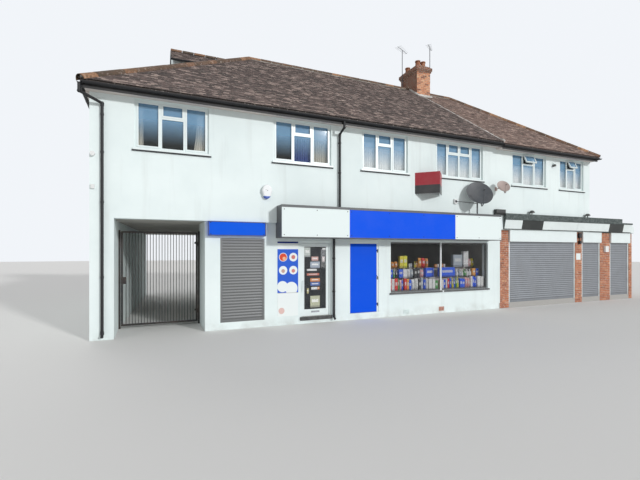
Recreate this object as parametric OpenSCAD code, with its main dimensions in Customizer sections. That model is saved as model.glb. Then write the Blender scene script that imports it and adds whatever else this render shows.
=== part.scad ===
// Corner shop building: a row of shops with flats over them under one hipped roof, a gated carriage
// passage at the left end and a single-storey shop at the right end.
// Millimetres, +X along the street front to the right, +Y into the building, +Z up. The origin lies
// on the ground, halfway along the upper storey and halfway through its depth.

/* [Plan] */
// Front wall from the left corner to the party line
left_house_w = 13050; // [12900:50:15700]
// Front wall from the party line to the right corner of the upper storey
right_house_w = 5350; // [5200:50:6500]
// Front wall face to rear wall face
building_depth = 10200; // [8500:100:13000]
// Thickness of the outside walls
wall_t = 280; // [215:5:340]
// Thickness of the party wall
party_wall_t = 225; // [200:5:300]
// How far the shop fronts stand back from the wall over them
shop_recess = 90; // [80:5:150]
// How far the single-storey shop runs on past the upper storey
side_shop_w = 3110; // [2600:10:3600]
// Depth of the single-storey shop
side_shop_depth = 6200; // [4500:100:8000]

/* [Levels] */
// Shop floor over the ground
floor_z = 200; // [120:10:260]
// Underside of the first floor, and so the head of the passage
storey_z = 2950; // [2800:10:3540]
// Thickness of the first floor
first_floor_t = 300; // [200:10:350]
// Height of the upper storey wall from the underside of the first floor to the soffit
upper_wall_h = 3000; // [2900:10:3600]
// Thickness of the ceiling under the roof
ceiling_t = 120; // [80:10:200]

/* [Roof] */
// Pitch of the front and rear slopes in degrees
roof_pitch = 35.5; // [30:0.5:40]
// Overhang of the tiles past the front and rear walls
eaves_out = 350; // [250:10:450]
// Overhang of the tiles past the left end wall
left_eaves_out = 140; // [60:5:180]
// Overhang of the tiles past the right end wall
right_eaves_out = 60; // [40:5:120]
// Plan length of the left hip
left_hip_run = 5150; // [4200:50:6200]
// Plan length of the steeper right hip
right_hip_run = 3110; // [2500:10:3800]
// Thickness of battens and tiles, measured upright
tile_t = 60; // [55:5:90]
// How much higher the eaves and the tiles of the left house lie
roof_step = 50; // [20:5:50]
// Height of the fascia board behind the gutter
eaves_board_h = 160; // [90:5:180]
// Thickness of fascia and soffit boards
eaves_board_t = 22; // [16:1:30]
// Width of the half-round gutters
gutter_w = 112; // [90:2:130]
// Radius of ridge and hip tiles
ridge_r = 110; // [80:5:130]

/* [Loft room] */
// Left face of the loft room, from the left corner
loft_x = 2100; // [1600:50:2400]
// Width of the loft room
loft_w = 2700; // [2300:50:2900]
// Front face of the loft room behind the ridge line
loft_set_back = 150; // [100:10:400]
// Depth of the loft room
loft_depth = 2700; // [2400:50:3600]
// How far the loft room's eaves lie below the ridge of the house
loft_eaves_drop = 550; // [400:10:650]
// Rise of its small gabled roof
loft_roof_rise = 1040; // [800:10:1200]

/* [Chimney] */
// Width of the stack along the front
stack_w = 760; // [600:10:900]
// Depth of the stack across the ridge
stack_d = 1290; // [1000:10:1500]
// Height of the brick head over the ridge
stack_h = 1030; // [700:10:1200]
// How far each step of the oversailing courses stands out
corbel_out = 38; // [25:1:50]
// Height of the clay pots
pot_h = 300; // [240:10:450]

/* [Passage] */
// Width of the left pier beside the passage
left_pier_w = 520; // [400:10:700]
// Clear width of the passage between its piers
passage_w = 2150; // [2000:10:2600]
// Depth of the portal in front of the gate
portal_depth = 1360; // [1100:10:1600]
// How much further right the passage wall stands behind the gate
passage_widening = 780; // [500:10:900]
// How much the skew left wall gains in thickness towards the rear
flank_skew = 580; // [300:10:700]
// Top of the gate over the ground
gate_top = 2700; // [2300:10:2750]
// Gap under the gate
gate_gap = 70; // [50:5:120]
// Number of upright bars of the gate
gate_bars = 24; // [16:1:28]
// Diameter of the gate bars
gate_bar_d = 18; // [14:1:25]
// Section of the gate frame and posts
gate_tube = 50; // [40:1:60]

/* [Shop fronts] */
// Pier between the passage and the kiosk
kiosk_pier_w = 400; // [340:10:520]
// Width of the kiosk hatch
kiosk_w = 1230; // [1000:10:1400]
// Wall between the kiosk and the shop door
poster_wall_w = 1070; // [900:10:1300]
// Width of the shop door opening
shop_door_w = 1030; // [960:10:1100]
// Wall between the two doors
door_wall_w = 580; // [480:10:700]
// Width of the side door opening
side_door_w = 1080; // [1000:10:1150]
// Wall between the side door and the display window
display_wall_w = 460; // [350:10:520]
// Width of the display window
display_w = 4230; // [3600:10:4300]
// Sill of the display window over the ground
display_sill_z = 780; // [600:10:900]
// Head of the doors and windows of the shops
shop_head_z = 2440; // [2380:10:2500]
// Head of the roller shutters
shutter_head_z = 2500; // [2450:10:2600]

/* [Right-hand shop] */
// White strip between the party line and the brick pier
party_strip_w = 300; // [150:10:400]
// Width of the first brick pier
brick_pier_w = 450; // [400:10:700]
// Width of the wide roller shutter
wide_shutter_w = 3800; // [3200:10:4000]
// Width of the second brick pier
middle_pier_w = 430; // [350:10:550]
// Width of the middle shutter
middle_shutter_w = 1200; // [1000:10:1300]
// Width of the third brick pier
third_pier_w = 690; // [600:10:850]
// Width of the pier at the right end
end_pier_w = 230; // [200:10:400]
// Height of one slat of the roller shutters
slat_pitch = 77; // [60:1:120]
// Height of the bottom bar of the roller shutters
bottom_bar_h = 70; // [50:5:100]
// Gap between the head of the ground storey and the sign band
band_gap = 15; // [5:5:40]
// Height of the sign band
band_h = 355; // [300:5:420]
// How far the sign band stands out at its top
band_out = 100; // [60:10:300]
// Height of the dark capping over the sign band
cap_h = 230; // [150:10:250]
// Height of the thin capping over its right end
thin_cap_h = 60; // [40:5:100]

/* [Upper windows] */
// Left edge of each left-house window from the left corner
left_windows_x = [970, 4540, 7400, 10280];
// Width of each left-house window
left_windows_w = [1790, 1800, 1730, 2130];
// Left edge of each right-house window from the party line
right_windows_x = [820, 3480];
// Width of each right-house window
right_windows_w = [1860, 1470];
// Height of the upper windows
window_h = 1230; // [1000:10:1400]
// Gap between the window heads and the soffit
window_drop = 12; // [10:1:200]
// Sills of the ground-floor windows at the rear over the ground
yard_sill_z = 1100; // [900:10:1200]
// How far the top lights of the right-hand house stand open at the front, in degrees
open_light = 24; // [0:2:40]
// Width of the plastic window frame members
frame_w = 62; // [45:1:80]
// Depth of the plastic window frames
frame_d = 70; // [60:1:90]
// How far window frames stand back in the wall
frame_recess = 60; // [40:5:120]
// Thickness of the sealed panes
pane_t = 24; // [16:1:28]
// How far sills stand out from the wall
sill_out = 50; // [30:5:70]
// Thickness of the upper sills
sill_t = 45; // [30:1:60]

/* [Doors] */
// Thickness of the door leaves
leaf_t = 46; // [40:1:55]
// Gap round each door leaf
leaf_gap = 7; // [6:0.5:9]
// Width of the door frame members
door_frame_w = 60; // [50:1:80]
// Depth of the door frames
door_frame_d = 80; // [70:1:100]
// Width of stiles and rails of the glazed door
stile_w = 95; // [80:1:120]

/* [Signs] */
// Projection of the shop fascia box
fascia_out = 460; // [350:10:520]
// Underside of the fascia box
fascia_z = 2520; // [2480:10:2560]
// Height of the fascia box
fascia_h = 910; // [800:10:950]
// Height of the dark trim at the top of the fascia box
fascia_trim_h = 70; // [50:5:90]
// Height of the dark trim under the sign panels
fascia_lip_h = 22; // [15:1:40]
// How far both trims stand out past the sign panels
fascia_lip_out = 8; // [4:1:15]
// Width of each outer sign panel
outer_panel_w = 2080; // [1800:10:2200]
// Width of the middle sign panel
middle_panel_w = 3990; // [3600:10:4100]
// Thickness of the sign panels
panel_t = 20; // [10:1:30]
// Joint between two sign panels
panel_joint = 4; // [2:1:8]
// Left end of the fascia box right of the kiosk
fascia_set_in = 330; // [250:10:400]
// Kiosk sign: projection from the wall over it
kiosk_sign_out = 60; // [40:5:100]
// Kiosk sign: height
kiosk_sign_h = 390; // [300:10:450]
// Kiosk sign: how far it runs on past the kiosk to the left
kiosk_sign_lap = 330; // [100:10:380]

/* [Pipes] */
// Diameter of the downpipes
pipe_d = 68; // [60:1:80]
// Gap between downpipe and wall
pipe_gap = 30; // [20:1:40]
// Left downpipe from the left corner
left_pipe_x = 275; // [150:5:400]
// Middle downpipe from the left corner
middle_pipe_x = 6600; // [6400:10:7000]

/* [Hidden] */

$fn = 32;
touch = 0.3;
upper_w = left_house_w + right_house_w;
whole_w = upper_w + side_shop_w;
soffit_z = storey_z + upper_wall_h;
upper_floor_z = storey_z + first_floor_t;

// Roof planes: the tiles overhang the eaves board by the lip and rise at the pitch. Levels are those of
// the right house; the left house lies a roof step higher.
tile_lip = 40;
board_drop = 40;
mid_y = building_depth / 2;
low_soffit_z = soffit_z - roof_step;
board_top = low_soffit_z - board_drop + eaves_board_h;
rise = round((mid_y + eaves_out) * tan(roof_pitch));
slope = rise / (mid_y + eaves_out);
eaves_z = ceil(board_top + tile_t - tile_lip * slope);
ridge_z = eaves_z + rise;
left_eaves_x = -left_eaves_out;
right_eaves_x = upper_w + right_eaves_out;
left_apex_x = left_eaves_x + left_hip_run;
right_apex_x = right_eaves_x - right_hip_run;
left_hip_slope = rise / left_hip_run;
right_hip_slope = rise / right_hip_run;
wall_top = eaves_z - tile_t + eaves_out * slope;
far = 1000;
ridge_bed = 33;
gutter_z = board_top - 30;
left_gutter_z = gutter_z + roof_step;
gutter_wall = 4;
gutter_left_x = left_eaves_x + tile_lip - gutter_w / 2;
gutter_right_x = right_eaves_x - tile_lip + gutter_w / 2;
gutter_front_y = tile_lip - eaves_out - gutter_w / 2;
gutter_rear_y = building_depth - gutter_front_y;

loft_y = mid_y + loft_set_back;
loft_eaves_z = ridge_z - loft_eaves_drop;
loft_wall_t = 150;
loft_out = 150;
loft_verge = 40;
loft_rear_y = loft_y + loft_depth;
loft_mid_y = (loft_y + loft_rear_y) / 2;
loft_slope = (loft_roof_rise - tile_t) / (loft_depth / 2 + loft_out);
loft_wall_top = loft_eaves_z + loft_out * loft_slope - touch;
loft_apex_z = loft_eaves_z + loft_roof_rise - tile_t;
loft_gutter_end = left_eaves_x + (loft_eaves_z - gutter_w / 2 - eaves_z - roof_step) / left_hip_slope;
loft_hip_x = left_eaves_x + left_hip_run * (building_depth + eaves_out - loft_rear_y) / (mid_y + eaves_out);

stack_x = left_house_w - 180;
stack_y = mid_y - stack_d / 2;
stack_top = ridge_z + stack_h;
course_h = 75;
pot_r = 120;
pots_apart_x = 300;
pots_apart_y = 800;
mast_d = 34;
boom_d = 18;

// Street front, from left to right
passage_x = left_pier_w;
portal_x = passage_x + passage_w;
kiosk_x = portal_x + kiosk_pier_w;
poster_wall_x = kiosk_x + kiosk_w;
shop_door_x = poster_wall_x + poster_wall_w;
door_wall_x = shop_door_x + shop_door_w;
side_door_x = door_wall_x + door_wall_w;
display_wall_x = side_door_x + side_door_w;
display_x = display_wall_x + display_wall_w;
display_end_x = display_x + display_w;
party_x = left_house_w;
brick_pier_x = party_x + party_strip_w;
wide_shutter_x = brick_pier_x + brick_pier_w;
middle_pier_x = wide_shutter_x + wide_shutter_w;
middle_shutter_x = middle_pier_x + middle_pier_w;
third_pier_x = middle_shutter_x + middle_shutter_w;
end_shutter_x = third_pier_x + third_pier_w;
end_shutter_end_x = whole_w - end_pier_w;
end_shutter_w = end_shutter_end_x - end_shutter_x;
band_x = brick_pier_x + 70;
band_end_x = whole_w - 310;
thick_cap_end_x = whole_w - 1070;
band_z = storey_z + band_gap;
cap_z = band_z + band_h;
cap_proud = 30;

front_in = shop_recess + wall_t;
rear_in = building_depth - wall_t;
gate_y = portal_depth;
gate_back = gate_y + gate_tube;
portal_back = gate_back + gate_tube;
inner_wall_x = portal_x + passage_widening;

window_z = soffit_z - window_drop - window_h;
windows_x = concat(left_windows_x, [for (x = right_windows_x) party_x + x]);
windows_w = concat(left_windows_w, right_windows_w);
windows = [
    for (i = [0 : len(windows_x) - 1])
        [windows_x[i], windows_w[i], window_z - (windows_x[i] > party_x ? roof_step : 0)]
];
yard_windows = [for (w = windows) if (w[0] > inner_wall_x + wall_t) [w[0], w[1], yard_sill_z]];
wide_window_w = 2000;
top_light_h = 300;
sash_w = 42;
sash_proud = 12;
sash_lap = 14;
open_sash_t = 40;
stay_d = 10;
sill_horn = 40;

display_y = shop_recess + 70;
display_bar = 50;
display_mid_x = (display_x + display_end_x) / 2;

// Door leaves between their frames
shop_leaf_x = shop_door_x + door_frame_w + leaf_gap;
shop_leaf_end = door_wall_x - door_frame_w - leaf_gap;
side_leaf_x = side_door_x + door_frame_w + leaf_gap;
side_leaf_end = display_wall_x - door_frame_w - leaf_gap;
leaf_z = floor_z + leaf_gap;
leaf_top = shop_head_z - door_frame_w - leaf_gap;
shop_frame_y = shop_recess + 40;
side_frame_y = shop_recess + 20;

handle_z = 950;
handle_h = 320;
handle_out = 60;
bottom_rail_h = 200;
step_out = 40;
step_h = 100;

// Gate leaf between its posts
gate_gap_side = 10;
gate_x = passage_x + gate_tube + gate_gap_side;
gate_end = portal_x - gate_tube - gate_gap_side;

// Hinges: the axis stands off the face that the leaf swings towards
hinge_off = 10;
hinge_r = 8;
hinge_pin_r = 4;
hinge_h = 45;
hinge_plate_t = 3;
gate_hinge_off = 18;
gate_hinge_r = 15;
gate_hinge_pin_r = 8;
gate_hinge_h = 60;
gate_plate_t = 6;
pin_clearance = 0.1;
hinge_reach = 50;
shop_hinge_x = shop_leaf_end + leaf_gap / 2;
shop_hinge_y = shop_frame_y + door_frame_d + hinge_off;
side_hinge_x = side_leaf_end + leaf_gap / 2;
side_hinge_y = side_frame_y - hinge_off;
gate_hinge_x = gate_end + gate_gap_side / 2;
lock_w = 130;
lock_h = 190;
lock_z = 1240;
lock_proud = 45;

kiosk_sign_x = kiosk_x - kiosk_sign_lap;
fascia_x = poster_wall_x + fascia_set_in;
panels_x = fascia_x + panel_joint;
fascia_end_x = panels_x + 2 * outer_panel_w + middle_panel_w;
fascia_top = fascia_z + fascia_h;
poster_t = 6;

// Shutters: left edge and width of each
shutters = [
    [kiosk_x, kiosk_w], [wide_shutter_x, wide_shutter_w],
    [middle_shutter_x, middle_shutter_w], [end_shutter_x, end_shutter_w]
];
curtain_y = shop_recess + 30;
curtain_bulge = 9;
curtain_groove = 7;
curtain_t = 8;
curtain_hook = 4;
slat_steps = 4;
slat_count = floor((shutter_head_z - floor_z - bottom_bar_h) / slat_pitch);
slat_h = (shutter_head_z - floor_z - bottom_bar_h) / slat_count;
slats_in_slot = 2;
foot_h = 12;
guide_w = 60;
guide_lap = 35;
guide_t = 6;
guide_clear = 3;
guide_front = curtain_y - curtain_bulge - guide_clear;
guide_back = curtain_y + curtain_hook + curtain_t + guide_clear;
hood_out = 70;
hood_lap = 10;
hood_chamfer = 15;
hood_end_t = 12;
hood_end_proud = 4;

neck_top = left_gutter_z - gutter_w / 2 - 180;
neck_bottom = neck_top - 120;
shoe_z = 160;
socket = 14;
socket_h = 60;
pipe_off = pipe_gap + pipe_d / 2;
wall_clips = [1500, 3300, 4500, 5400];
rear_pipes_x = [windows_x[1] + windows_w[1] + 550, left_house_w - 320];

alarm_x = kiosk_x + 1260;
alarm_z = 3810;
left_fitting_x = 70;
spot_lamps_x = [brick_pier_x + 1450, brick_pier_x + 4750];
spot_lamp_r = 100;
board_x = 9410;
board_z = 4050;
board_reach = 566;
board_h = 700;
board_t = 30;
dish_t = 6;
large_dish_d = 930;
large_dish_x = 11890;
large_dish_z = 4140;
dish_box_x = 11110;
dish_box_z = 3880;
small_dish_d = 470;
small_dish_x = left_house_w;
small_dish_z = 4475;

render_white = "#eef0ee";
tile_brown = "#6b5c50";
tile_red = "#7c5a4a";
brick_red = "#b5603f";
black_plastic = "#1d1f22";
upvc_white = "#f4f5f4";
sign_blue = "#0f55c8";
steel_grey = "#9b9fa1";
glass_tint = "#9db4c4";
clay = "#b9623f";

// Moves everything drawn from the left front corner to the origin in the middle of the plan
module site() translate([-upper_w / 2, -mid_y, 0]) children();

// A block between two corners
module block(x1, x2, y1, y2, z1, z2) translate([x1, y1, z1]) cube([x2 - x1, y2 - y1, z2 - z1]);

// An outline drawn in Y and Z, run along X
module along_x(x1, x2) translate([x1, 0, 0]) rotate([90, 0, 90]) linear_extrude(x2 - x1) children();

// An outline drawn in X and Z, run along Y
module along_y(y1, y2) translate([0, y2, 0]) rotate([90, 0, 0]) linear_extrude(y2 - y1) children();

// A round bar between two points
module bar(a, b, d) {
    v = b - a;
    translate(a) rotate([0, acos(v[2] / norm(v)), atan2(v[1], v[0])]) cylinder(d = d, h = norm(v));
}

// A rectangular ring in the plane of the front, seen from the street
module ring(x1, x2, z1, z2, y1, y2, w) difference() {
    block(x1, x2, y1, y2, z1, z2);
    block(x1 + w, x2 - w, y1 - 1, y2 + 1, z1 + w, z2 - w);
}

// Turns what is drawn for the front round to the rear
module rear_side() translate([0, building_depth, 0]) mirror([0, 1, 0]) children();

module both_sides() {
    children();
    rear_side() children();
}

// Ground floor

module ground_floor() color("#8c8a86") site() {
    block(kiosk_x, inner_wall_x - touch, shop_recess, portal_back, 0, floor_z);
    block(inner_wall_x, upper_w, shop_recess, building_depth, 0, floor_z);
    block(upper_w + touch, whole_w, shop_recess, side_shop_depth, 0, floor_z);
}

module door_step() color("#8d8f90") site()
    block(shop_door_x, door_wall_x, shop_recess - step_out, shop_recess, floor_z - step_h, floor_z);

module passage_left_wall() color(render_white) site() linear_extrude(storey_z) {
    polygon([[0, 0], [left_pier_w, 0], [left_pier_w, gate_back], [0, gate_back]]);
    polygon([[0, gate_back + touch], [left_pier_w, gate_back + touch],
             [left_pier_w + flank_skew, building_depth], [0, building_depth]]);
}

module portal_pier() color(render_white) site()
    block(portal_x, kiosk_x, shop_recess, portal_back, 0, storey_z);

module passage_inner_wall() color(render_white) site() {
    block(kiosk_x, inner_wall_x + wall_t, portal_back - wall_t, portal_back, floor_z, storey_z);
    block(inner_wall_x, inner_wall_x + wall_t, portal_back + touch, rear_in, floor_z, storey_z);
}

module shop_front_piers() color(render_white) site() {
    block(poster_wall_x, shop_door_x, shop_recess, front_in, floor_z, shop_head_z);
    block(door_wall_x, side_door_x, shop_recess, front_in, floor_z, shop_head_z);
}

module display_wall() color(render_white) site() {
    block(display_wall_x, display_x, shop_recess, front_in, floor_z, shop_head_z);
    block(display_x + touch, display_end_x - touch, shop_recess, front_in, floor_z, display_sill_z);
    block(display_end_x, brick_pier_x, shop_recess, front_in, floor_z, shop_head_z);
}

module right_shop_piers() color(brick_red) site()
    for (pier = [[brick_pier_x, wide_shutter_x], [middle_pier_x, middle_shutter_x],
                 [third_pier_x, end_shutter_x], [end_shutter_end_x, whole_w]])
        block(pier[0], pier[1], shop_recess, front_in, floor_z, shutter_head_z);

// One lintel over all shop openings, higher over the shutters, with a slot over each shutter for its
// slats to run up through
module shop_lintel() color(render_white) site() difference() {
    block(kiosk_x, whole_w, shop_recess, front_in, shop_head_z, storey_z);
    for (x = [[kiosk_x - 1, poster_wall_x], [brick_pier_x, whole_w + 1]])
        block(x[0], x[1], shop_recess - 1, front_in + 1, shop_head_z - 1, shutter_head_z);
    for (s = shutters)
        block(s[0] + guide_w - guide_lap - touch, s[0] + s[1] - guide_w + guide_lap + touch,
              guide_front, guide_back, shutter_head_z - 1, shutter_head_z + slats_in_slot * slat_h + touch);
}

module party_wall() color("#c9c4bb") site() {
    block(party_x, party_x + party_wall_t, front_in, rear_in, floor_z, storey_z);
    block(party_x, party_x + party_wall_t, wall_t, rear_in, upper_floor_z, soffit_z);
}

module side_shop_walls() color(brick_red) site() {
    block(whole_w - wall_t, whole_w, front_in, side_shop_depth - wall_t - touch, floor_z, storey_z);
    block(upper_w, whole_w, side_shop_depth - wall_t, side_shop_depth, floor_z, storey_z);
    block(upper_w - wall_t, upper_w - touch, side_shop_depth, rear_in, floor_z, storey_z);
}

module side_shop_roof() color("#5b5f60") site()
    block(upper_w, whole_w, 0, side_shop_depth, storey_z, storey_z + first_floor_t);

// The space under the tiles of both houses, lowered by a drop
module under_tiles(drop)
    for (half = [[left_eaves_x - far, party_x, roof_step], [party_x, right_eaves_x + far, 0]])
        translate([0, 0, half[2] - drop]) intersection() {
            along_x(half[0], half[1]) polygon([
                [-eaves_out - far, 0], [-eaves_out - far, eaves_z - far * slope], [mid_y, ridge_z],
                [building_depth + eaves_out + far, eaves_z - far * slope],
                [building_depth + eaves_out + far, 0]
            ]);
            along_y(-eaves_out - far, building_depth + eaves_out + far) polygon([
                [left_eaves_x - far, 0], [left_eaves_x - far, eaves_z - far * left_hip_slope],
                [left_apex_x, ridge_z], [right_apex_x, ridge_z],
                [right_eaves_x + far, eaves_z - far * right_hip_slope], [right_eaves_x + far, 0]
            ]);
        }

// The hole for a window and its sill in the front wall
module window_hole(w) block(w[0], w[0] + w[1], -1, wall_t + 1, w[2] - sill_t, w[2] + window_h);

module rear_wall() color(render_white) site() {
    difference() {
        block(inner_wall_x, upper_w, rear_in, building_depth, floor_z, storey_z - touch);
        rear_side() for (w = yard_windows) window_hole(w);
    }
    intersection() {
        difference() {
            block(0, upper_w, rear_in, building_depth, storey_z, wall_top + roof_step);
            rear_side() for (w = windows) window_hole(w);
        }
        under_tiles(tile_t + touch);
    }
}

module first_floor() color("#b9b7b1") site()
    block(wall_t, upper_w - wall_t, wall_t, rear_in, storey_z, upper_floor_z);

// Upper storey

module upper_front_wall() color(render_white) site() intersection() {
    difference() {
        block(0, upper_w, 0, wall_t, storey_z, wall_top + roof_step);
        for (w = windows) window_hole(w);
    }
    under_tiles(tile_t + touch);
}

module upper_end_walls() color(render_white) site() intersection() {
    union() {
        block(0, wall_t, wall_t, rear_in, storey_z, wall_top + roof_step);
        block(upper_w - wall_t, upper_w, wall_t, rear_in, storey_z, wall_top + roof_step);
    }
    under_tiles(tile_t + touch);
}

module ceiling() color("#d8d6d0") site()
    block(wall_t, upper_w - wall_t, wall_t, rear_in, soffit_z, soffit_z + ceiling_t);

// Roof

// The tile layer of the front and rear slopes, raised by a step
module slope_layer(x1, x2, step) along_x(x1, x2) translate([0, step]) polygon([
    [-eaves_out, eaves_z - tile_t], [-eaves_out, eaves_z], [mid_y, ridge_z],
    [building_depth + eaves_out, eaves_z], [building_depth + eaves_out, eaves_z - tile_t],
    [mid_y, ridge_z - tile_t]
]);

// The plan of a roof slope, cut upright
module plan(points) linear_extrude(ridge_z + 2 * far) polygon(points);

module stack_hole() block(stack_x - touch, stack_x + stack_w + touch,
                          stack_y - touch, stack_y + stack_d + touch, 0, ridge_z + far);

module roof_front_left() color(tile_brown) site() difference() {
    intersection() {
        slope_layer(left_eaves_x, party_x, roof_step);
        plan([[left_eaves_x, -eaves_out], [left_apex_x, mid_y], [party_x, mid_y], [party_x, -eaves_out]]);
    }
    stack_hole();
}

module roof_front_right() color(tile_red) site() difference() {
    intersection() {
        slope_layer(party_x, right_eaves_x, 0);
        plan([[party_x, -eaves_out], [party_x, mid_y], [right_apex_x, mid_y], [right_eaves_x, -eaves_out]]);
    }
    stack_hole();
}

module roof_rear() color(tile_brown) site() difference() {
    intersection() {
        union() {
            slope_layer(left_eaves_x, party_x, roof_step);
            slope_layer(party_x, right_eaves_x, 0);
        }
        plan([[left_eaves_x, building_depth + eaves_out], [left_apex_x, mid_y], [right_apex_x, mid_y],
              [right_eaves_x, building_depth + eaves_out]]);
    }
    stack_hole();
}

module roof_hips() color(tile_brown) site() {
    intersection() {
        along_y(-eaves_out, building_depth + eaves_out) translate([0, roof_step]) polygon([
            [left_eaves_x, eaves_z - tile_t], [left_eaves_x, eaves_z],
            [left_apex_x, ridge_z], [left_apex_x, ridge_z - tile_t]
        ]);
        plan([[left_eaves_x, -eaves_out], [left_apex_x, mid_y], [left_eaves_x, building_depth + eaves_out]]);
    }
    intersection() {
        along_y(-eaves_out, building_depth + eaves_out) polygon([
            [right_eaves_x, eaves_z - tile_t], [right_eaves_x, eaves_z],
            [right_apex_x, ridge_z], [right_apex_x, ridge_z - tile_t]
        ]);
        plan([[right_eaves_x, -eaves_out], [right_apex_x, mid_y],
              [right_eaves_x, building_depth + eaves_out]]);
    }
}

// The round tiles of a hip, from the eaves up to an end plane
module hip_tiles(eaves_x, apex_x, end_x, step) {
    low = [eaves_x, -eaves_out, eaves_z + step - ridge_bed];
    top = [apex_x, mid_y, ridge_z + step - ridge_bed];
    run_on = (top - low) / 20;
    intersection() {
        bar(low - run_on, top + run_on, 2 * ridge_r);
        block(min(eaves_x, end_x), max(eaves_x, end_x), -eaves_out, mid_y - touch, 0, ridge_z + far);
    }
}

// Half-round tiles bedded over the ridge and the hips; the rear left hip runs up to the loft room
module ridge_tiles() color(clay) site() difference() {
    union() {
        for (side = [0, 1]) translate([0, side * building_depth, 0]) mirror([0, side, 0]) {
            hip_tiles(left_eaves_x, left_apex_x,
                      side == 0 ? left_apex_x - touch : loft_hip_x + 2 * ridge_r, roof_step);
            hip_tiles(right_eaves_x, right_apex_x, right_apex_x + touch, 0);
        }
        bar([left_apex_x, mid_y, ridge_z + roof_step - ridge_bed],
            [stack_x - touch, mid_y, ridge_z + roof_step - ridge_bed], 2 * ridge_r);
        bar([stack_x + stack_w + touch, mid_y, ridge_z - ridge_bed],
            [right_apex_x, mid_y, ridge_z - ridge_bed], 2 * ridge_r);
    }
    under_tiles(-touch);
    block(loft_x - touch, loft_x + loft_w, loft_y, loft_rear_y + touch, eaves_z, ridge_z + far);
}

// Loft room behind the left hip

module loft_room() color(render_white) site() difference() {
    union() {
        for (y = [loft_y, loft_rear_y - loft_wall_t])
            block(loft_x + loft_wall_t + touch, loft_x + loft_w - loft_wall_t - touch, y, y + loft_wall_t,
                  eaves_z, loft_wall_top);
        for (x = [loft_x, loft_x + loft_w - loft_wall_t]) along_x(x, x + loft_wall_t) polygon([
            [loft_y, eaves_z], [loft_y, loft_wall_top], [loft_mid_y, loft_apex_z - touch],
            [loft_rear_y, loft_wall_top], [loft_rear_y, eaves_z]
        ]);
    }
    under_tiles(-touch);
}

// The tile layer of one slope over the loft room
module loft_slope_layer() along_x(loft_x - loft_verge, loft_x + loft_w + loft_verge) polygon([
    [loft_y - loft_out, loft_eaves_z], [loft_y - loft_out, loft_eaves_z + tile_t],
    [loft_mid_y - touch, loft_apex_z + tile_t], [loft_mid_y - touch, loft_apex_z]
]);

module loft_roof() color(tile_brown) site() difference() {
    union() {
        loft_slope_layer();
        translate([0, 2 * loft_mid_y, 0]) mirror([0, 1, 0]) loft_slope_layer();
    }
    under_tiles(-touch);
}

// Chimney: brick stack with oversailing courses in two steps under a set-back head

module chimney_stack() color(brick_red) site() {
    block(stack_x, stack_x + stack_w, stack_y, stack_y + stack_d, soffit_z + ceiling_t, stack_top);
    for (course = [[4 * course_h, 3 * course_h, corbel_out], [3 * course_h, course_h, 2 * corbel_out]])
        block(stack_x - course[2], stack_x + stack_w + course[2], stack_y - course[2],
              stack_y + stack_d + course[2], stack_top - course[0], stack_top - course[1]);
}

module chimney_pot() rotate_extrude() difference() {
    polygon([[0, 0], [pot_r + 20, 0], [pot_r, 60], [pot_r - 15, pot_h - 60],
             [pot_r + 8, pot_h - 50], [pot_r + 8, pot_h], [0, pot_h]]);
    translate([0, 40]) square([pot_r - 40, pot_h]);
}

// Two rows of two pots over the middle of the stack
module chimney_pots() color(clay) site() for (i = [-0.5, 0.5], j = [-0.5, 0.5])
    translate([stack_x + stack_w / 2 + i * pots_apart_x, mid_y + j * pots_apart_y, stack_top]) chimney_pot();

// Eaves

// Fascia and soffit boards; a closing piece stands where the soffit steps down at the party line
module eaves_boards() color(upvc_white) site() {
    board_out = eaves_out - tile_lip;
    board_z = low_soffit_z - board_drop;
    both_sides() {
        for (run = [[left_eaves_x + tile_lip, party_x, roof_step], [party_x, right_eaves_x - tile_lip, 0]])
            translate([0, 0, run[2]]) {
                block(run[0], run[1], -board_out, eaves_board_t - board_out, board_z, board_top);
                block(run[0], run[1], eaves_board_t - board_out, 0,
                      low_soffit_z, low_soffit_z + eaves_board_t);
            }
        block(party_x, party_x + eaves_board_t, eaves_board_t - board_out, 0,
              low_soffit_z, soffit_z + eaves_board_t);
    }
    for (end = [[left_eaves_x + tile_lip, 0, roof_step], [upper_w, right_eaves_x - tile_lip, 0]])
        block(end[0], end[1], touch, building_depth - touch, board_z + end[2], board_top + end[2]);
}

// A half-round channel with its open side up
module gutter_outline(x) translate([x, gutter_z]) difference() {
    circle(d = gutter_w);
    circle(d = gutter_w - 2 * gutter_wall);
    translate([-gutter_w, 0]) square(2 * gutter_w);
}

module gutters() color(black_plastic) site() {
    for (y = [gutter_front_y, gutter_rear_y]) {
        along_x(gutter_left_x + gutter_w / 2 + touch, party_x - touch) translate([0, roof_step])
            gutter_outline(y);
        along_x(party_x + touch, gutter_right_x - gutter_w / 2 - touch) gutter_outline(y);
    }
    for (end = [[gutter_left_x, roof_step], [gutter_right_x, 0]])
        along_y(gutter_front_y - gutter_w / 2, gutter_rear_y + gutter_w / 2) translate([0, end[1]])
            gutter_outline(end[0]);
    along_x(loft_x - loft_verge - 70, loft_gutter_end) translate([0, loft_eaves_z + 40 - gutter_z])
        gutter_outline(loft_y - loft_out - gutter_w / 2);
}

// The offset of a downpipe: outlet under the gutter, two elbows and a socket for the straight pipe
module swan_neck(outlet_x, gutter_y, x, y) {
    neck = [outlet_x, gutter_y, neck_top];
    foot = [x, y, neck_bottom];
    bar(neck, [outlet_x, gutter_y, left_gutter_z - gutter_w / 2 - touch], pipe_d);
    bar(neck, foot, pipe_d);
    bar([x, y, neck_bottom - socket_h], foot, pipe_d + socket);
    for (elbow = [neck, foot]) translate(elbow) sphere(d = pipe_d + socket + 4);
}

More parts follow.
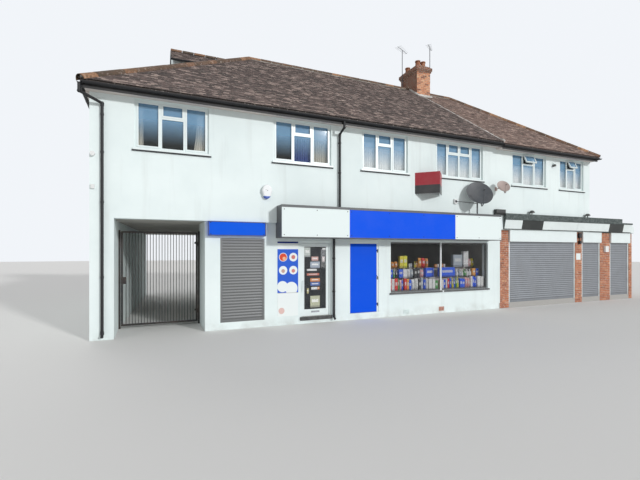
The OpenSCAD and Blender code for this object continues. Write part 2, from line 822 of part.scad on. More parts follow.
// A straight pipe with clips back to the wall
module pipe(x, wall_y, z1, z2, dir, clips) {
    y = wall_y - dir * pipe_off;
    bar([x, y, z1], [x, y, z2], pipe_d);
    for (z = clips) {
        translate([x, y, z]) cylinder(d = pipe_d + socket, h = 40);
        block(x - 30, x + 30, min(y, wall_y), max(y, wall_y), z + 5, z + 35);
    }
}

// The foot of a downpipe, kicked out over the ground
module pipe_shoe(x, wall_y, dir) {
    y = wall_y - dir * pipe_off;
    bar([x, y, shoe_z], [x, y, shoe_z + socket_h - touch], pipe_d + socket);
    bar([x, y, shoe_z], [x, y - dir * 70, shoe_z - 70], pipe_d);
    translate([x, y, shoe_z]) sphere(d = pipe_d + socket + 4);
}

module downpipes() color(black_plastic) site() {
    lower_x = door_wall_x + pipe_gap / 2 + pipe_d / 2;
    neck_end = neck_bottom - socket_h - touch;
    swan_neck(gutter_left_x, gutter_front_y, left_pipe_x, -pipe_off);
    pipe(left_pipe_x, 0, shoe_z + socket_h, neck_end, 1, wall_clips);
    pipe_shoe(left_pipe_x, 0, 1);
    swan_neck(middle_pipe_x, gutter_front_y, middle_pipe_x, -pipe_off);
    pipe(middle_pipe_x, 0, fascia_top + touch, neck_end, 1, [wall_clips[2], wall_clips[3]]);
    pipe(lower_x, shop_recess, shoe_z + socket_h, fascia_z - touch, 1, [900, 1900]);
    pipe_shoe(lower_x, shop_recess, 1);
    for (x = rear_pipes_x) {
        swan_neck(x, gutter_rear_y, x, building_depth + pipe_off);
        pipe(x, building_depth, shoe_z + socket_h, neck_end, -1, wall_clips);
        pipe_shoe(x, building_depth, -1);
    }
}

// Upper windows

function lights(w) = w > wide_window_w ? 4 : 3;
function light_x(w, i) = w[0] + frame_w + i * (w[1] - frame_w) / lights(w[1]);
function light_w(w) = (w[1] - frame_w) / lights(w[1]) - frame_w;

// A sealed pane that fills an opening, a touch clear of its frame
module pane(x1, x2, y, z1, z2)
    block(x1 + touch, x2 - touch, y - pane_t / 2, y + pane_t / 2, z1 + touch, z2 - touch);

// Turns a top light out round the edge that hangs on the frame
module turned_out(w, angle) {
    z = w[2] + window_h - frame_w + sash_lap;
    translate([0, frame_recess - touch, z]) rotate([-angle, 0, 0]) translate([0, 0, -z]) children();
}

// The sash of a top light
module top_sash(w, i, y1, y2) {
    z2 = w[2] + window_h - frame_w;
    ring(light_x(w, i) - sash_lap, light_x(w, i) + light_w(w) + sash_lap,
         z2 - top_light_h - sash_lap, z2 + sash_lap, y1, y2, sash_w);
}

// One plastic window: outer frame, mullions, transom over the middle lights, and a sash in each light
// that opens; the top lights stand out at an angle, each on a stay
module window_frame(w, angle) {
    y1 = frame_recess;
    y2 = frame_recess + frame_d;
    n = lights(w[1]);
    z1 = w[2] + frame_w;
    z2 = w[2] + window_h - frame_w;
    ring(w[0], w[0] + w[1], w[2], w[2] + window_h, y1, y2, frame_w);
    for (i = [1 : n - 1]) block(light_x(w, i) - frame_w, light_x(w, i), y1, y2, z1, z2);
    for (i = [1 : n - 2])
        block(light_x(w, i), light_x(w, i) + light_w(w), y1, y2,
              z2 - top_light_h - frame_w, z2 - top_light_h);
    for (i = [0, n - 1])
        ring(light_x(w, i) - sash_lap, light_x(w, i) + light_w(w) + sash_lap, z1 - sash_lap, z2 + sash_lap,
             y1 - sash_proud, y1, sash_w);
    for (i = [1 : n - 2])
        if (angle == 0) top_sash(w, i, y1 - sash_proud, y1);
        else {
            stay_x = light_x(w, i) + light_w(w) / 2;
            reach = top_light_h + sash_lap;
            turned_out(w, angle) top_sash(w, i, -open_sash_t, 0);
            bar([stay_x, y1 + stay_d, z2 - top_light_h - frame_w / 2],
                [stay_x, y1 - reach * sin(angle) - stay_d * cos(angle),
                 z2 + sash_lap - reach * cos(angle) + stay_d * sin(angle)], stay_d);
        }
}

function open_angle(w) = w[0] > party_x ? open_light : 0;

module window_frames() color(upvc_white) site() {
    for (w = windows) window_frame(w, open_angle(w));
    rear_side() for (w = concat(windows, yard_windows)) window_frame(w, 0);
}

// The panes of one window
module window_panes(w, angle) {
    n = lights(w[1]);
    y = frame_recess + frame_d / 2;
    z1 = w[2] + frame_w;
    z2 = w[2] + window_h - frame_w;
    for (i = [0, n - 1]) pane(light_x(w, i), light_x(w, i) + light_w(w), y, z1, z2);
    for (i = [1 : n - 2]) {
        x1 = light_x(w, i);
        x2 = x1 + light_w(w);
        pane(x1, x2, y, z1, z2 - top_light_h - frame_w);
        if (angle == 0) pane(x1, x2, y, z2 - top_light_h, z2);
        else turned_out(w, angle)
            pane(x1 + sash_w - sash_lap, x2 - sash_w + sash_lap, -open_sash_t / 2,
                 z2 - top_light_h + sash_w - sash_lap, z2 - sash_w + sash_lap);
    }
}

module window_glass() color(glass_tint) site() {
    for (w = windows) window_panes(w, open_angle(w));
    rear_side() for (w = concat(windows, yard_windows)) window_panes(w, 0);
    for (x = [display_x + display_bar, display_mid_x + display_bar / 2])
        pane(x, x + (display_w - 3 * display_bar) / 2, display_y + display_bar / 2,
             display_sill_z + display_bar, shop_head_z - display_bar);
}

module window_sill(w) {
    block(w[0] - sill_horn, w[0] + w[1] + sill_horn, -sill_out, 0, w[2] - sill_t, w[2]);
    block(w[0], w[0] + w[1], 0, frame_recess + frame_d, w[2] - sill_t, w[2]);
}

module window_sills() color(upvc_white) site() {
    for (w = windows) window_sill(w);
    rear_side() for (w = concat(windows, yard_windows)) window_sill(w);
}

// Shop front

module display_frame() color("#3a3d40") site() {
    ring(display_x, display_end_x, display_sill_z, shop_head_z,
         display_y, display_y + display_bar, display_bar);
    block(display_mid_x - display_bar / 2, display_mid_x + display_bar / 2, display_y,
          display_y + display_bar, display_sill_z + display_bar, shop_head_z - display_bar);
    block(display_x - sill_horn, display_end_x + sill_horn, shop_recess - sill_out, shop_recess,
          display_sill_z - display_bar, display_sill_z);
}

// Jambs and head of a doorway
module door_frame(x1, x2, y) {
    for (x = [x1, x2 - door_frame_w])
        block(x, x + door_frame_w, y, y + door_frame_d, floor_z, shop_head_z - door_frame_w - touch);
    block(x1, x2, y, y + door_frame_d, shop_head_z - door_frame_w, shop_head_z);
}

// The half of a hinge that stays on the frame: plate, lower knuckle and pin. The leaf swings towards +Y.
module hinge_fixed(off, r, pin_r, h, plate_t, reach) {
    cylinder(r = r, h = h);
    cylinder(r = pin_r, h = 2 * h);
    block(0, reach, -off, plate_t - off, 0, h);
}

// The half of a hinge that turns with the leaf: plate and bored upper knuckle
module hinge_moving(off, r, pin_r, h, plate_t, reach) translate([0, 0, h + touch]) difference() {
    union() {
        cylinder(r = r, h = h);
        block(-reach, 0, -off, plate_t - off, 0, h);
    }
    translate([0, 0, -1]) cylinder(r = pin_r + pin_clearance, h = h + 2);
}

// Places the children at each hinge of a door leaf
module at_hinges(x, y) for (z = [floor_z + 180, (floor_z + leaf_top) / 2, leaf_top - 280])
    translate([x, y, z]) children();

module shop_door_frame() color(upvc_white) site() {
    door_frame(shop_door_x, door_wall_x, shop_frame_y);
    at_hinges(shop_hinge_x, shop_hinge_y)
        hinge_fixed(hinge_off, hinge_r, hinge_pin_r, hinge_h, hinge_plate_t, hinge_reach);
}

module shop_door() color(upvc_white) site() {
    y2 = shop_frame_y + door_frame_d;
    difference() {
        block(shop_leaf_x, shop_leaf_end, y2 - leaf_t, y2, leaf_z, leaf_top);
        block(shop_leaf_x + stile_w, shop_leaf_end - stile_w, y2 - leaf_t - 1, y2 + 1,
              leaf_z + bottom_rail_h, leaf_top - stile_w);
    }
    at_hinges(shop_hinge_x, shop_hinge_y)
        hinge_moving(hinge_off, hinge_r, hinge_pin_r, hinge_h, hinge_plate_t, hinge_reach);
    translate([shop_leaf_x + stile_w / 2, y2 - leaf_t, 0]) pull_handle();
}

// A bow handle on the street side of the leaf
module pull_handle() {
    bar([0, -handle_out, handle_z], [0, -handle_out, handle_z + handle_h], 22);
    for (z = [handle_z + 20, handle_z + handle_h - 20]) bar([0, 0, z], [0, -handle_out, z], 16);
}

module shop_door_glass() color(glass_tint) site()
    pane(shop_leaf_x + stile_w, shop_leaf_end - stile_w, shop_frame_y + door_frame_d - leaf_t / 2,
         leaf_z + bottom_rail_h, leaf_top - stile_w);

module side_door_frame() color(upvc_white) site() {
    door_frame(side_door_x, display_wall_x, side_frame_y);
    at_hinges(side_hinge_x, side_hinge_y) mirror([0, 1, 0])
        hinge_fixed(hinge_off, hinge_r, hinge_pin_r, hinge_h, hinge_plate_t, hinge_reach);
}

module side_door() color(sign_blue) site() {
    block(side_leaf_x, side_leaf_end, side_frame_y, side_frame_y + leaf_t, leaf_z, leaf_top);
    at_hinges(side_hinge_x, side_hinge_y) mirror([0, 1, 0])
        hinge_moving(hinge_off, hinge_r, hinge_pin_r, hinge_h, hinge_plate_t, hinge_reach);
    translate([side_leaf_x + 70, side_frame_y, handle_z + 50]) rotate([90, 0, 0]) cylinder(d = 52, h = 12);
}

// Passage gate

// Places the children at the two hinges of the gate
module at_gate_hinges() for (z = [gate_gap + 250, gate_top - 400])
    translate([gate_hinge_x, gate_back + gate_hinge_off, z]) children();

module gate_posts() color(black_plastic) site() {
    for (x = [passage_x, portal_x - gate_tube])
        block(x, x + gate_tube, gate_y, gate_back, 0, gate_top + 30);
    at_gate_hinges() hinge_fixed(gate_hinge_off, gate_hinge_r, gate_hinge_pin_r, gate_hinge_h,
                                 gate_plate_t, gate_tube);
}

module gate() color(black_plastic) site() {
    mid = (gate_y + gate_back) / 2;
    inner_w = gate_end - gate_x - 2 * gate_tube;
    ring(gate_x, gate_end, gate_gap, gate_top, gate_y, gate_back, gate_tube);
    for (i = [1 : gate_bars])
        translate([gate_x + gate_tube + i * inner_w / (gate_bars + 1), mid, gate_gap + gate_tube - 1])
            cylinder(d = gate_bar_d, h = gate_top - gate_gap - 2 * gate_tube + 2, $fn = 8);
    block(gate_x, gate_x + lock_w, gate_y - lock_proud, gate_y, lock_z, lock_z + lock_h);
    at_gate_hinges() hinge_moving(gate_hinge_off, gate_hinge_r, gate_hinge_pin_r, gate_hinge_h,
                                  gate_plate_t, gate_tube + 40);
}

// Signs

module kiosk_sign() color(sign_blue) site()
    block(kiosk_sign_x, poster_wall_x, -kiosk_sign_out, shop_recess, storey_z - kiosk_sign_h, storey_z);

module fascia_box() color("#4a4f52") site() {
    lip_y = -fascia_out - panel_t - fascia_lip_out;
    along_x(fascia_x, fascia_end_x) polygon([
        [lip_y, fascia_z], [shop_recess, fascia_z], [shop_recess, storey_z], [0, storey_z],
        [0, fascia_top], [lip_y, fascia_top], [lip_y, fascia_top - fascia_trim_h],
        [-fascia_out, fascia_top - fascia_trim_h], [-fascia_out, fascia_z + fascia_lip_h],
        [lip_y, fascia_z + fascia_lip_h]
    ]);
}

module sign_panels() {
    z1 = fascia_z + fascia_lip_h;
    z2 = fascia_top - fascia_trim_h;
    color(upvc_white) site() for (x = [panels_x, panels_x + outer_panel_w + middle_panel_w])
        block(x, x + outer_panel_w - panel_joint, -fascia_out - panel_t, -fascia_out, z1, z2);
    color(sign_blue) site() translate([panels_x + outer_panel_w, 0, 0])
        block(0, middle_panel_w - panel_joint, -fascia_out - panel_t, -fascia_out, z1, z2);
    color(sign_blue) site() block(poster_wall_x + 380, shop_door_x - 60, shop_recess - poster_t, shop_recess,
                                  floor_z + 60, shop_head_z - 20);
}

// The outline of the sign band under a capping of a given height
module band_outline(h) polygon([
    [0, band_z], [-cap_proud, band_z], [-band_out, cap_z], [-band_out - cap_proud, cap_z],
    [-band_out - cap_proud, cap_z + h], [0, cap_z + h]
]);

module right_fascia() color("#4c5a54") site() {
    along_x(band_x, thick_cap_end_x) band_outline(cap_h);
    along_x(thick_cap_end_x + touch, band_end_x) band_outline(thin_cap_h);
}

// Roller shutters

// One face of the slats, from the bottom bar up: each slat bulges towards the street, and a groove
// shows where it hooks into the next
function slat_face(y) = [
    for (i = [0 : slat_count + slats_in_slot - 1])
        let (z = floor_z + bottom_bar_h + i * slat_h)
        each concat(
            [[y + curtain_hook, z], [y + curtain_hook, z + curtain_groove]],
            [for (k = [0 : slat_steps]) [y - curtain_bulge * sin(180 * k / slat_steps),
                                         z + curtain_groove + k * (slat_h - curtain_groove) / slat_steps]]
        )
];

function reversed(list) = [for (i = [len(list) - 1 : -1 : 0]) list[i]];

// A bar with a wide foot that closes the curtain below
bottom_bar = [
    [curtain_y + curtain_t, floor_z + bottom_bar_h], [curtain_y + curtain_t, floor_z + foot_h],
    [curtain_y + curtain_t + curtain_hook, floor_z + foot_h], [curtain_y + curtain_t + curtain_hook, floor_z],
    [curtain_y - curtain_bulge, floor_z], [curtain_y - curtain_bulge, floor_z + foot_h],
    [curtain_y, floor_z + foot_h], [curtain_y, floor_z + bottom_bar_h]
];

// A channel that holds one edge of the curtain, open to its right
module shutter_guide() linear_extrude(shutter_head_z - floor_z) difference() {
    translate([0, guide_front - guide_t]) square([guide_w, guide_back - guide_front + 2 * guide_t]);
    translate([guide_w - guide_lap - guide_clear, guide_front]) square([guide_w, guide_back - guide_front]);
}

module roller_shutters() color(steel_grey) site() for (s = shutters) {
    along_x(s[0] + guide_w - guide_lap, s[0] + s[1] - guide_w + guide_lap)
        polygon(concat(bottom_bar, slat_face(curtain_y), reversed(slat_face(curtain_y + curtain_t))));
    translate([s[0], 0, floor_z]) shutter_guide();
    translate([s[0] + s[1], 0, floor_z]) mirror([1, 0, 0]) shutter_guide();
}

// The outline of a hood, grown to the front and below
module hood_outline(proud) polygon([
    [shop_recess, shutter_head_z - proud], [shop_recess - hood_out + hood_chamfer, shutter_head_z - proud],
    [shop_recess - hood_out - proud, shutter_head_z + hood_chamfer],
    [shop_recess - hood_out - proud, storey_z], [shop_recess, storey_z]
]);

module shutter_hoods() color(upvc_white) site() for (i = [1 : 3]) {
    x1 = shutters[i][0] - hood_lap;
    x2 = shutters[i][0] + shutters[i][1] + hood_lap;
    along_x(x1 + hood_end_t, x2 - hood_end_t) hood_outline(0);
    for (x = [x1, x2 - hood_end_t]) along_x(x, x + hood_end_t) hood_outline(hood_end_proud);
}

// Things fixed to the walls

module wall_fittings() site() {
    color(upvc_white) translate([alarm_x, 0, alarm_z]) rotate([90, 0, 0]) {
        cylinder(d = 270, h = 70);
        translate([0, 0, 70]) cylinder(r1 = 120, r2 = 90, h = 25);
    }
    color(upvc_white) translate([left_fitting_x, 0, 4470]) rotate([90, 0, 0]) cylinder(d = 110, h = 80);
    color("#9a9c9c") block(left_fitting_x - 40, left_fitting_x + 40, -50, 0, 3640, 3740);
    color("#4b4743") translate([party_x + 3080, 0, 5560]) rotate([90, 0, 0]) cylinder(d = 90, h = 110);
    color("#e6e4e0") block(dish_box_x - 60, dish_box_x + 60, -60, 0, dish_box_z - 80, dish_box_z + 80);
    color("#3b3f3e") along_x(12950, 13400) polygon([
        [0, 3490], [-90, 3490], [-130, 3560], [-130, 3680], [0, 3680]
    ]);
    color("#e6e4e0") block(third_pier_x + 260, third_pier_x + 480, shop_recess - 90, shop_recess, 2100, 2360);
    color("#3b3f3e") for (x = spot_lamps_x) translate([x, -band_out - 10, cap_z + cap_h]) {
        cylinder(d = 30, h = 60);
        translate([0, 0, 60]) intersection() {
            sphere(r = spot_lamp_r);
            translate([-spot_lamp_r, -spot_lamp_r, 0]) cube(2 * spot_lamp_r);
        }
    }
}

// Two boards in a V; the right one ends short of the wall, in front of the window sill
module agent_board() color("#a32630") site() translate([board_x, 0, board_z])
    for (side = [[0, 0], [1, sill_out + 20]])
        translate([side[0] * (2 * board_reach + touch), 0, 0]) mirror([side[0], 0, 0])
            linear_extrude(board_h) polygon([
                [side[1], -side[1]], [board_reach, -board_reach], [board_reach, -board_reach + board_t],
                [side[1] + board_t, -side[1]]
            ]);

// A dish facing the street, turned by aim and tilted up, with its receiver on an arm that passes
// under the rim from the bracket at the back
module dish(d, aim, tilt) rotate([0, 0, aim]) rotate([90 - tilt, 0, 0]) {
    back = dish_t + touch;
    rotate_extrude() polygon([
        for (i = [0 : 6]) [i * d / 12, i * i * d / 400],
        for (i = [6 : -1 : 0]) [i * d / 12, i * i * d / 400 - dish_t]
    ]);
    translate([0, 0, -back - 60]) cylinder(d = d / 6, h = 60);
    along_x(-12, 12) polygon([
        [0, -back - 50], [-d / 2 - 50, -14], [-d / 2 - 50, d * 0.17], [-d / 8, d * 0.45 + 14],
        [-d / 8, d * 0.45 - 14], [-d / 2 - 26, d * 0.17 - 10], [-d / 2 - 26, 6], [0, -back - 26]
    ]);
    translate([0, -d / 8, d * 0.4]) cylinder(d = 60, h = 90);
}

module satellite_dishes() color("#6f7377") site() {
    translate([large_dish_x, -320, large_dish_z]) dish(large_dish_d, -20, 28);
    bar([large_dish_x, -250, fascia_top + touch], [large_dish_x, -250, large_dish_z - 20], 48);
    block(dish_box_x - 40, dish_box_x + 40, -66, -60 - touch, dish_box_z - 40, dish_box_z + 40);
    bar([dish_box_x, -75, dish_box_z], [large_dish_x, -250, dish_box_z - 60], 25);
    translate([small_dish_x, -320, small_dish_z]) dish(small_dish_d, -20, 28);
    bar([small_dish_x, -6, small_dish_z - 40], [small_dish_x, -272, small_dish_z - 40], 34);
    block(small_dish_x - 60, small_dish_x + 60, -6, 0, small_dish_z - 110, small_dish_z + 30);
}

// Aerials: a mast held off a face of the stack by two brackets, a boom and its cross rods
module aerial(face_x, y, dir, top, reach, turn) {
    x = face_x + dir * (2 * corbel_out + touch + mast_d / 2);
    bar([x, y, stack_top - 700], [x, y, top], mast_d);
    for (z = [stack_top - 620, stack_top - 380]) bar([face_x, y, z], [x, y, z], 24);
    translate([x, y, top + touch + boom_d / 2]) rotate([0, 0, turn]) {
        bar([-reach / 2, 0, 0], [reach / 2, 0, 0], boom_d);
        for (i = [0 : 7]) translate([(i / 7.8 - 0.46) * reach, 0, 0]) rotate([90, 0, 0])
            cylinder(d = 8, h = 0.4 * reach - i * 20, center = true, $fn = 8);
    }
}

module aerials() color("#a7abad") site() {
    aerial(stack_x, stack_y + 1050, -1, stack_top + 1140, 900, 26);
    aerial(stack_x + stack_w, stack_y + 125, 1, stack_top + 1020, 650, 38);
}

ground_floor();
door_step();
passage_left_wall();
portal_pier();
passage_inner_wall();
shop_front_piers();
display_wall();
right_shop_piers();
shop_lintel();
party_wall();
side_shop_walls();
side_shop_roof();
rear_wall();
first_floor();
upper_front_wall();
upper_end_walls();
ceiling();
roof_front_left();
roof_front_right();
roof_rear();
roof_hips();
ridge_tiles();
loft_room();
loft_roof();
chimney_stack();
chimney_pots();
eaves_boards();
gutters();
downpipes();
window_frames();
window_glass();
window_sills();
display_frame();
shop_door_frame();
shop_door();
shop_door_glass();
side_door_frame();
side_door();
gate_posts();
gate();
kiosk_sign();
fascia_box();
sign_panels();
right_fascia();
roller_shutters();
shutter_hoods();
wall_fittings();
agent_board();
satellite_dishes();
aerials();
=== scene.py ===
# %% [markdown]
# # Corner shop building
# A white block of shops with flats over them, under one long hipped roof. The walls, roof slopes,
# windows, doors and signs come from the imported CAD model, which stays where it is. This script adds
# what a CAD model leaves out: every roof tile and brick, the ridge, curtains, goods in the window,
# trims on the signs, and the paint, dust and lichen on all of it. All sizes are in metres, with X
# along the street, Y into the building and Z up.

# %% Load the frame
import bpy
import bmesh
import math
import numpy as np
from mathutils import Matrix, Vector


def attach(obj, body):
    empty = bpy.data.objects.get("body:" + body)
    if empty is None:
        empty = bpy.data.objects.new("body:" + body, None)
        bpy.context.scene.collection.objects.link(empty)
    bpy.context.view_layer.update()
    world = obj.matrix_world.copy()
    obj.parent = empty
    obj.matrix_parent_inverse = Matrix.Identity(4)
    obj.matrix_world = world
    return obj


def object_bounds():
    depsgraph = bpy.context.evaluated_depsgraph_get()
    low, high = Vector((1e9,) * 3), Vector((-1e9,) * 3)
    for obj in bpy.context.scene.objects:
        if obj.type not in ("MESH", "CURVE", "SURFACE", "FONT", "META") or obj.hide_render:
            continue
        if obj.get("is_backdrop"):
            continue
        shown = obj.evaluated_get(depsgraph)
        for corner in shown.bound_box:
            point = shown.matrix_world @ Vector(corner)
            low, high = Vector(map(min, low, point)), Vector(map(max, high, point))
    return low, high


QUARTER = math.radians(90)
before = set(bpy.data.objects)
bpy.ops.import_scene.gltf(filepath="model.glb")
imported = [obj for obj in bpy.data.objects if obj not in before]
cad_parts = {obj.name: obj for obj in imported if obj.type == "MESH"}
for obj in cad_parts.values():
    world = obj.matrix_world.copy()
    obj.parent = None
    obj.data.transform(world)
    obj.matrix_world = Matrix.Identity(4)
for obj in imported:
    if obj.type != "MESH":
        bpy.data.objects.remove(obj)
cad_low, cad_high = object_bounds()
print("CAD nodes:", len(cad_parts), "box", [round(v, 2) for v in cad_high - cad_low])

# %% [markdown]
# ## Camera
# The photograph was taken from some ten metres in front of the building, at its left end. Its
# upright edges are upright in the picture, so the camera is level, and the horizon lies a little
# under the middle, which a small vertical shift gives. The place and the lens come from the
# vanishing lines of the eaves and from the height of the doors.

# %% Camera at the photograph's angle
PICTURE_WIDTH, FOCAL_LENGTH, HORIZON_SHIFT, SENSOR = 640, 390, 10.94, 36
camera = bpy.data.objects.new("street_camera", bpy.data.cameras.new("street_camera"))
bpy.context.scene.collection.objects.link(camera)
camera.location = (-7.811, -15.789, 2.15)
camera.rotation_euler = (QUARTER, 0, -math.atan2(0.394, 0.919))
camera.data.lens = FOCAL_LENGTH / PICTURE_WIDTH * SENSOR
camera.data.shift_y = HORIZON_SHIFT / PICTURE_WIDTH
camera.data.clip_end = 200
bpy.context.scene.camera = camera
print("camera", tuple(camera.location), "lens", round(camera.data.lens, 2), "mm")

# %% [markdown]
# ## Trees of nodes
# Each material is a small tree of nodes, and so is the sky. Patterns are read from Object
# coordinates, which are metres here because every object sits at the origin. The helpers keep the
# trees short: one adds a node and sets its values, one mixes colours, one gives noise at a size in
# metres. What is the same all over a surface, such as its gloss, is set on the shader itself.

# %% Helpers for node trees
def new_finish(name, roughness, metallic=0.0, specular=0.5):
    """A material with its gloss set on the shader: returns it with its tree and shader."""
    material = bpy.data.materials.new(name)
    material.use_nodes = True
    shader = material.node_tree.nodes["Principled BSDF"]
    shader.inputs["Roughness"].default_value = roughness
    shader.inputs["Metallic"].default_value = metallic
    shader.inputs["Specular IOR Level"].default_value = specular
    return material, material.node_tree, shader


def add(tree, kind, inputs=(), **settings):
    """A node of the given kind, with its settings, and its sockets linked or set from pairs."""
    made = tree.nodes.new("ShaderNode" + kind)
    for key, value in settings.items():
        setattr(made, key, value)
    for socket, value in inputs:
        if isinstance(value, bpy.types.NodeSocket):
            tree.links.new(value, made.inputs[socket])
        else:
            made.inputs[socket].default_value = value
    return made


def place(tree, stretch=(1, 1, 1)):
    """Object coordinates in metres, stretched where a pattern runs longer one way."""
    coords = add(tree, "TexCoord").outputs["Object"]
    return add(tree, "Mapping", [("Vector", coords), ("Scale", stretch)]).outputs[0]


def axis(tree, name, kind="Object"):
    """The X, Y or Z place on the building in metres, or that part of the way a face looks."""
    return add(tree, "SeparateXYZ", [(0, add(tree, "TexCoord").outputs[kind])]).outputs[name]


def noise(tree, size, where=None, detail=4.0, rough=0.55):
    """Noise whose marks are about the given size in metres, from 0 to 1."""
    return add(tree, "TexNoise", [("Vector", where or place(tree)), ("Scale", 1 / size),
                                  ("Detail", detail), ("Roughness", rough)]).outputs["Fac"]


def spread(tree, value, low, high, to_low=0.0, to_high=1.0):
    """A value stretched from one range to another and held at its ends."""
    return add(tree, "MapRange", [("Value", value), ("From Min", low), ("From Max", high),
                                  ("To Min", to_low), ("To Max", to_high)]).outputs[0]


def maths(tree, operation, first, second):
    """One sum on two values or sockets."""
    return add(tree, "Math", [(0, first), (1, second)], operation=operation).outputs[0]


def blend(tree, share, first, second):
    """Two colours, or two colour sockets, mixed by a share from 0 to 1."""
    first, second = (value if isinstance(value, bpy.types.NodeSocket) else (*value, 1)
                     for value in (first, second))
    return add(tree, "Mix", [(0, share), (6, first), (7, second)], data_type="RGBA").outputs[2]


def stain(tree, colour, over, size, low, high, most=1.0, **kind):
    """Lays a second colour over the first, where noise of a size rises from low to high."""
    share = spread(tree, noise(tree, size, **kind), low, high, 0.0, most)
    return blend(tree, share, colour, over)


def ramp(tree, value, stops):
    """A colour for each value, from stops of place, red, green and blue that run from 0 to 1."""
    made = add(tree, "ValToRGB", [(0, value)])
    marks = made.color_ramp.elements
    marks[0].color, marks[1].color = (*stops[0][1:], 1), (*stops[-1][1:], 1)
    for where, *colour in stops[1:-1]:
        marks.new(where).color = (*colour, 1)
    return made.outputs[0]


def finish(material, tree, shader, colour, height, depth, strength):
    """Sends a colour to the shader, and a small unevenness with a real depth in metres."""
    bump = add(tree, "Bump", [("Height", height), ("Strength", strength), ("Distance", depth)])
    tree.links.new(colour, shader.inputs["Base Color"])
    tree.links.new(bump.outputs[0], shader.inputs["Normal"])
    return material


print("node helpers ready")

# %% [markdown]
# ## Light and floor
# The light is that of a plain studio: one broad sun with soft edges, low from the front right as in
# the photograph, where the eaves throw only a narrow shadow. A weaker one comes from the left, so
# that no wall goes black, one from behind, and a pale sky from all round. The floor is one wide pale
# sheet. It is marked as stage, so it isn't part of the building. The backdrop is drawn white by the
# world only where the camera, a reflection or a pane looks at it, which adds no light.

# %% Studio light
for name, strength, toward, edge_angle in (("key_light", 1.86, (-0.42, 0.85, -0.33), 5),
                                           ("fill_light", 0.4, (0.8, 0.5, -0.6), 40),
                                           ("rear_light", 0.7, (0.2, -0.9, -0.7), 40)):
    lamp = bpy.data.objects.new(name, bpy.data.lights.new(name, "SUN"))
    bpy.context.scene.collection.objects.link(lamp)
    lamp.data.energy = strength
    lamp.data.angle = math.radians(edge_angle)
    lamp.rotation_euler = Vector(toward).to_track_quat("-Z", "Y").to_euler()
world = bpy.data.worlds.new("studio")
bpy.context.scene.world = world
world.use_nodes = True
sky = world.node_tree
sky.nodes.clear()
rays = add(sky, "LightPath").outputs
seen = maths(sky, "MAXIMUM", rays["Is Camera Ray"], rays["Is Transmission Ray"])
seen = maths(sky, "MAXIMUM", seen, rays["Is Glossy Ray"])
soft_grey = add(sky, "Background", [("Color", (0.95, 0.97, 1.0, 1)), ("Strength", 0.42)])
backdrop = add(sky, "Background", [("Color", (0.93, 0.96, 1.0, 1)), ("Strength", 0.95)])
sky_mix = add(sky, "MixShader", [(0, seen), (1, soft_grey.outputs[0]), (2, backdrop.outputs[0])])
add(sky, "OutputWorld", [("Surface", sky_mix.outputs[0])])
bpy.context.scene.view_settings.view_transform = "Standard"
print("lamps:", [lamp.name for lamp in bpy.data.lights])

# %% Pale floor
bpy.ops.object.select_all(action="DESELECT")
bpy.ops.mesh.primitive_plane_add(size=160, location=(0, 0, -0.002))
floor = bpy.context.object
floor.name = "studio_floor"
floor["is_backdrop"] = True
floor_paint, tree, shader = new_finish("studio_floor_paint", roughness=0.85)
shader.inputs["Base Color"].default_value = (0.74, 0.73, 0.71, 1)
floor.data.materials.append(floor_paint)
print("floor", floor.dimensions[:2])

# %% [markdown]
# ## Finishes
# ### Painted render
# The walls are smooth render under white masonry paint. In the photograph they are a clean, cool
# white, with faint clouds where the paint is thinner, soft streaks that the rain leaves under the
# eaves and the sills, and a grey splash zone just over the ground. Three noises at different sizes
# give these, and the height over the ground says where the splashes are.

# %% Masonry paint
SPLASH_HEIGHT = 0.35


def masonry_paint(name, bare=()):
    """White paint with clouds, rain streaks and a grimy foot; bare says where there is none."""
    material, tree, shader = new_finish(name, roughness=0.82, specular=0.3)
    colour = stain(tree, (0.82, 0.9, 0.89), (0.74, 0.825, 0.82), 1.6, 0.35, 0.7)
    colour = stain(tree, colour, (0.5, 0.53, 0.51), 0.3, 0.55, 0.8, 0.35,
                   where=place(tree, (1, 1, 0.08)), detail=6)
    splash = maths(tree, "MULTIPLY", spread(tree, axis(tree, "Z"), 0.0, SPLASH_HEIGHT, 0.5, 0.0),
                   spread(tree, noise(tree, 0.5, detail=8), 0.42, 0.68))
    colour = blend(tree, splash, colour, (0.36, 0.36, 0.33))
    for where in bare:
        colour = blend(tree, where(tree), colour, (0.4, 0.39, 0.37))
    grain = maths(tree, "ADD", noise(tree, 0.012, detail=3), noise(tree, 0.2))
    return finish(material, tree, shader, colour, grain, 0.004, 0.35)


wall_paint = masonry_paint("masonry_paint")
print(wall_paint.name, "made")
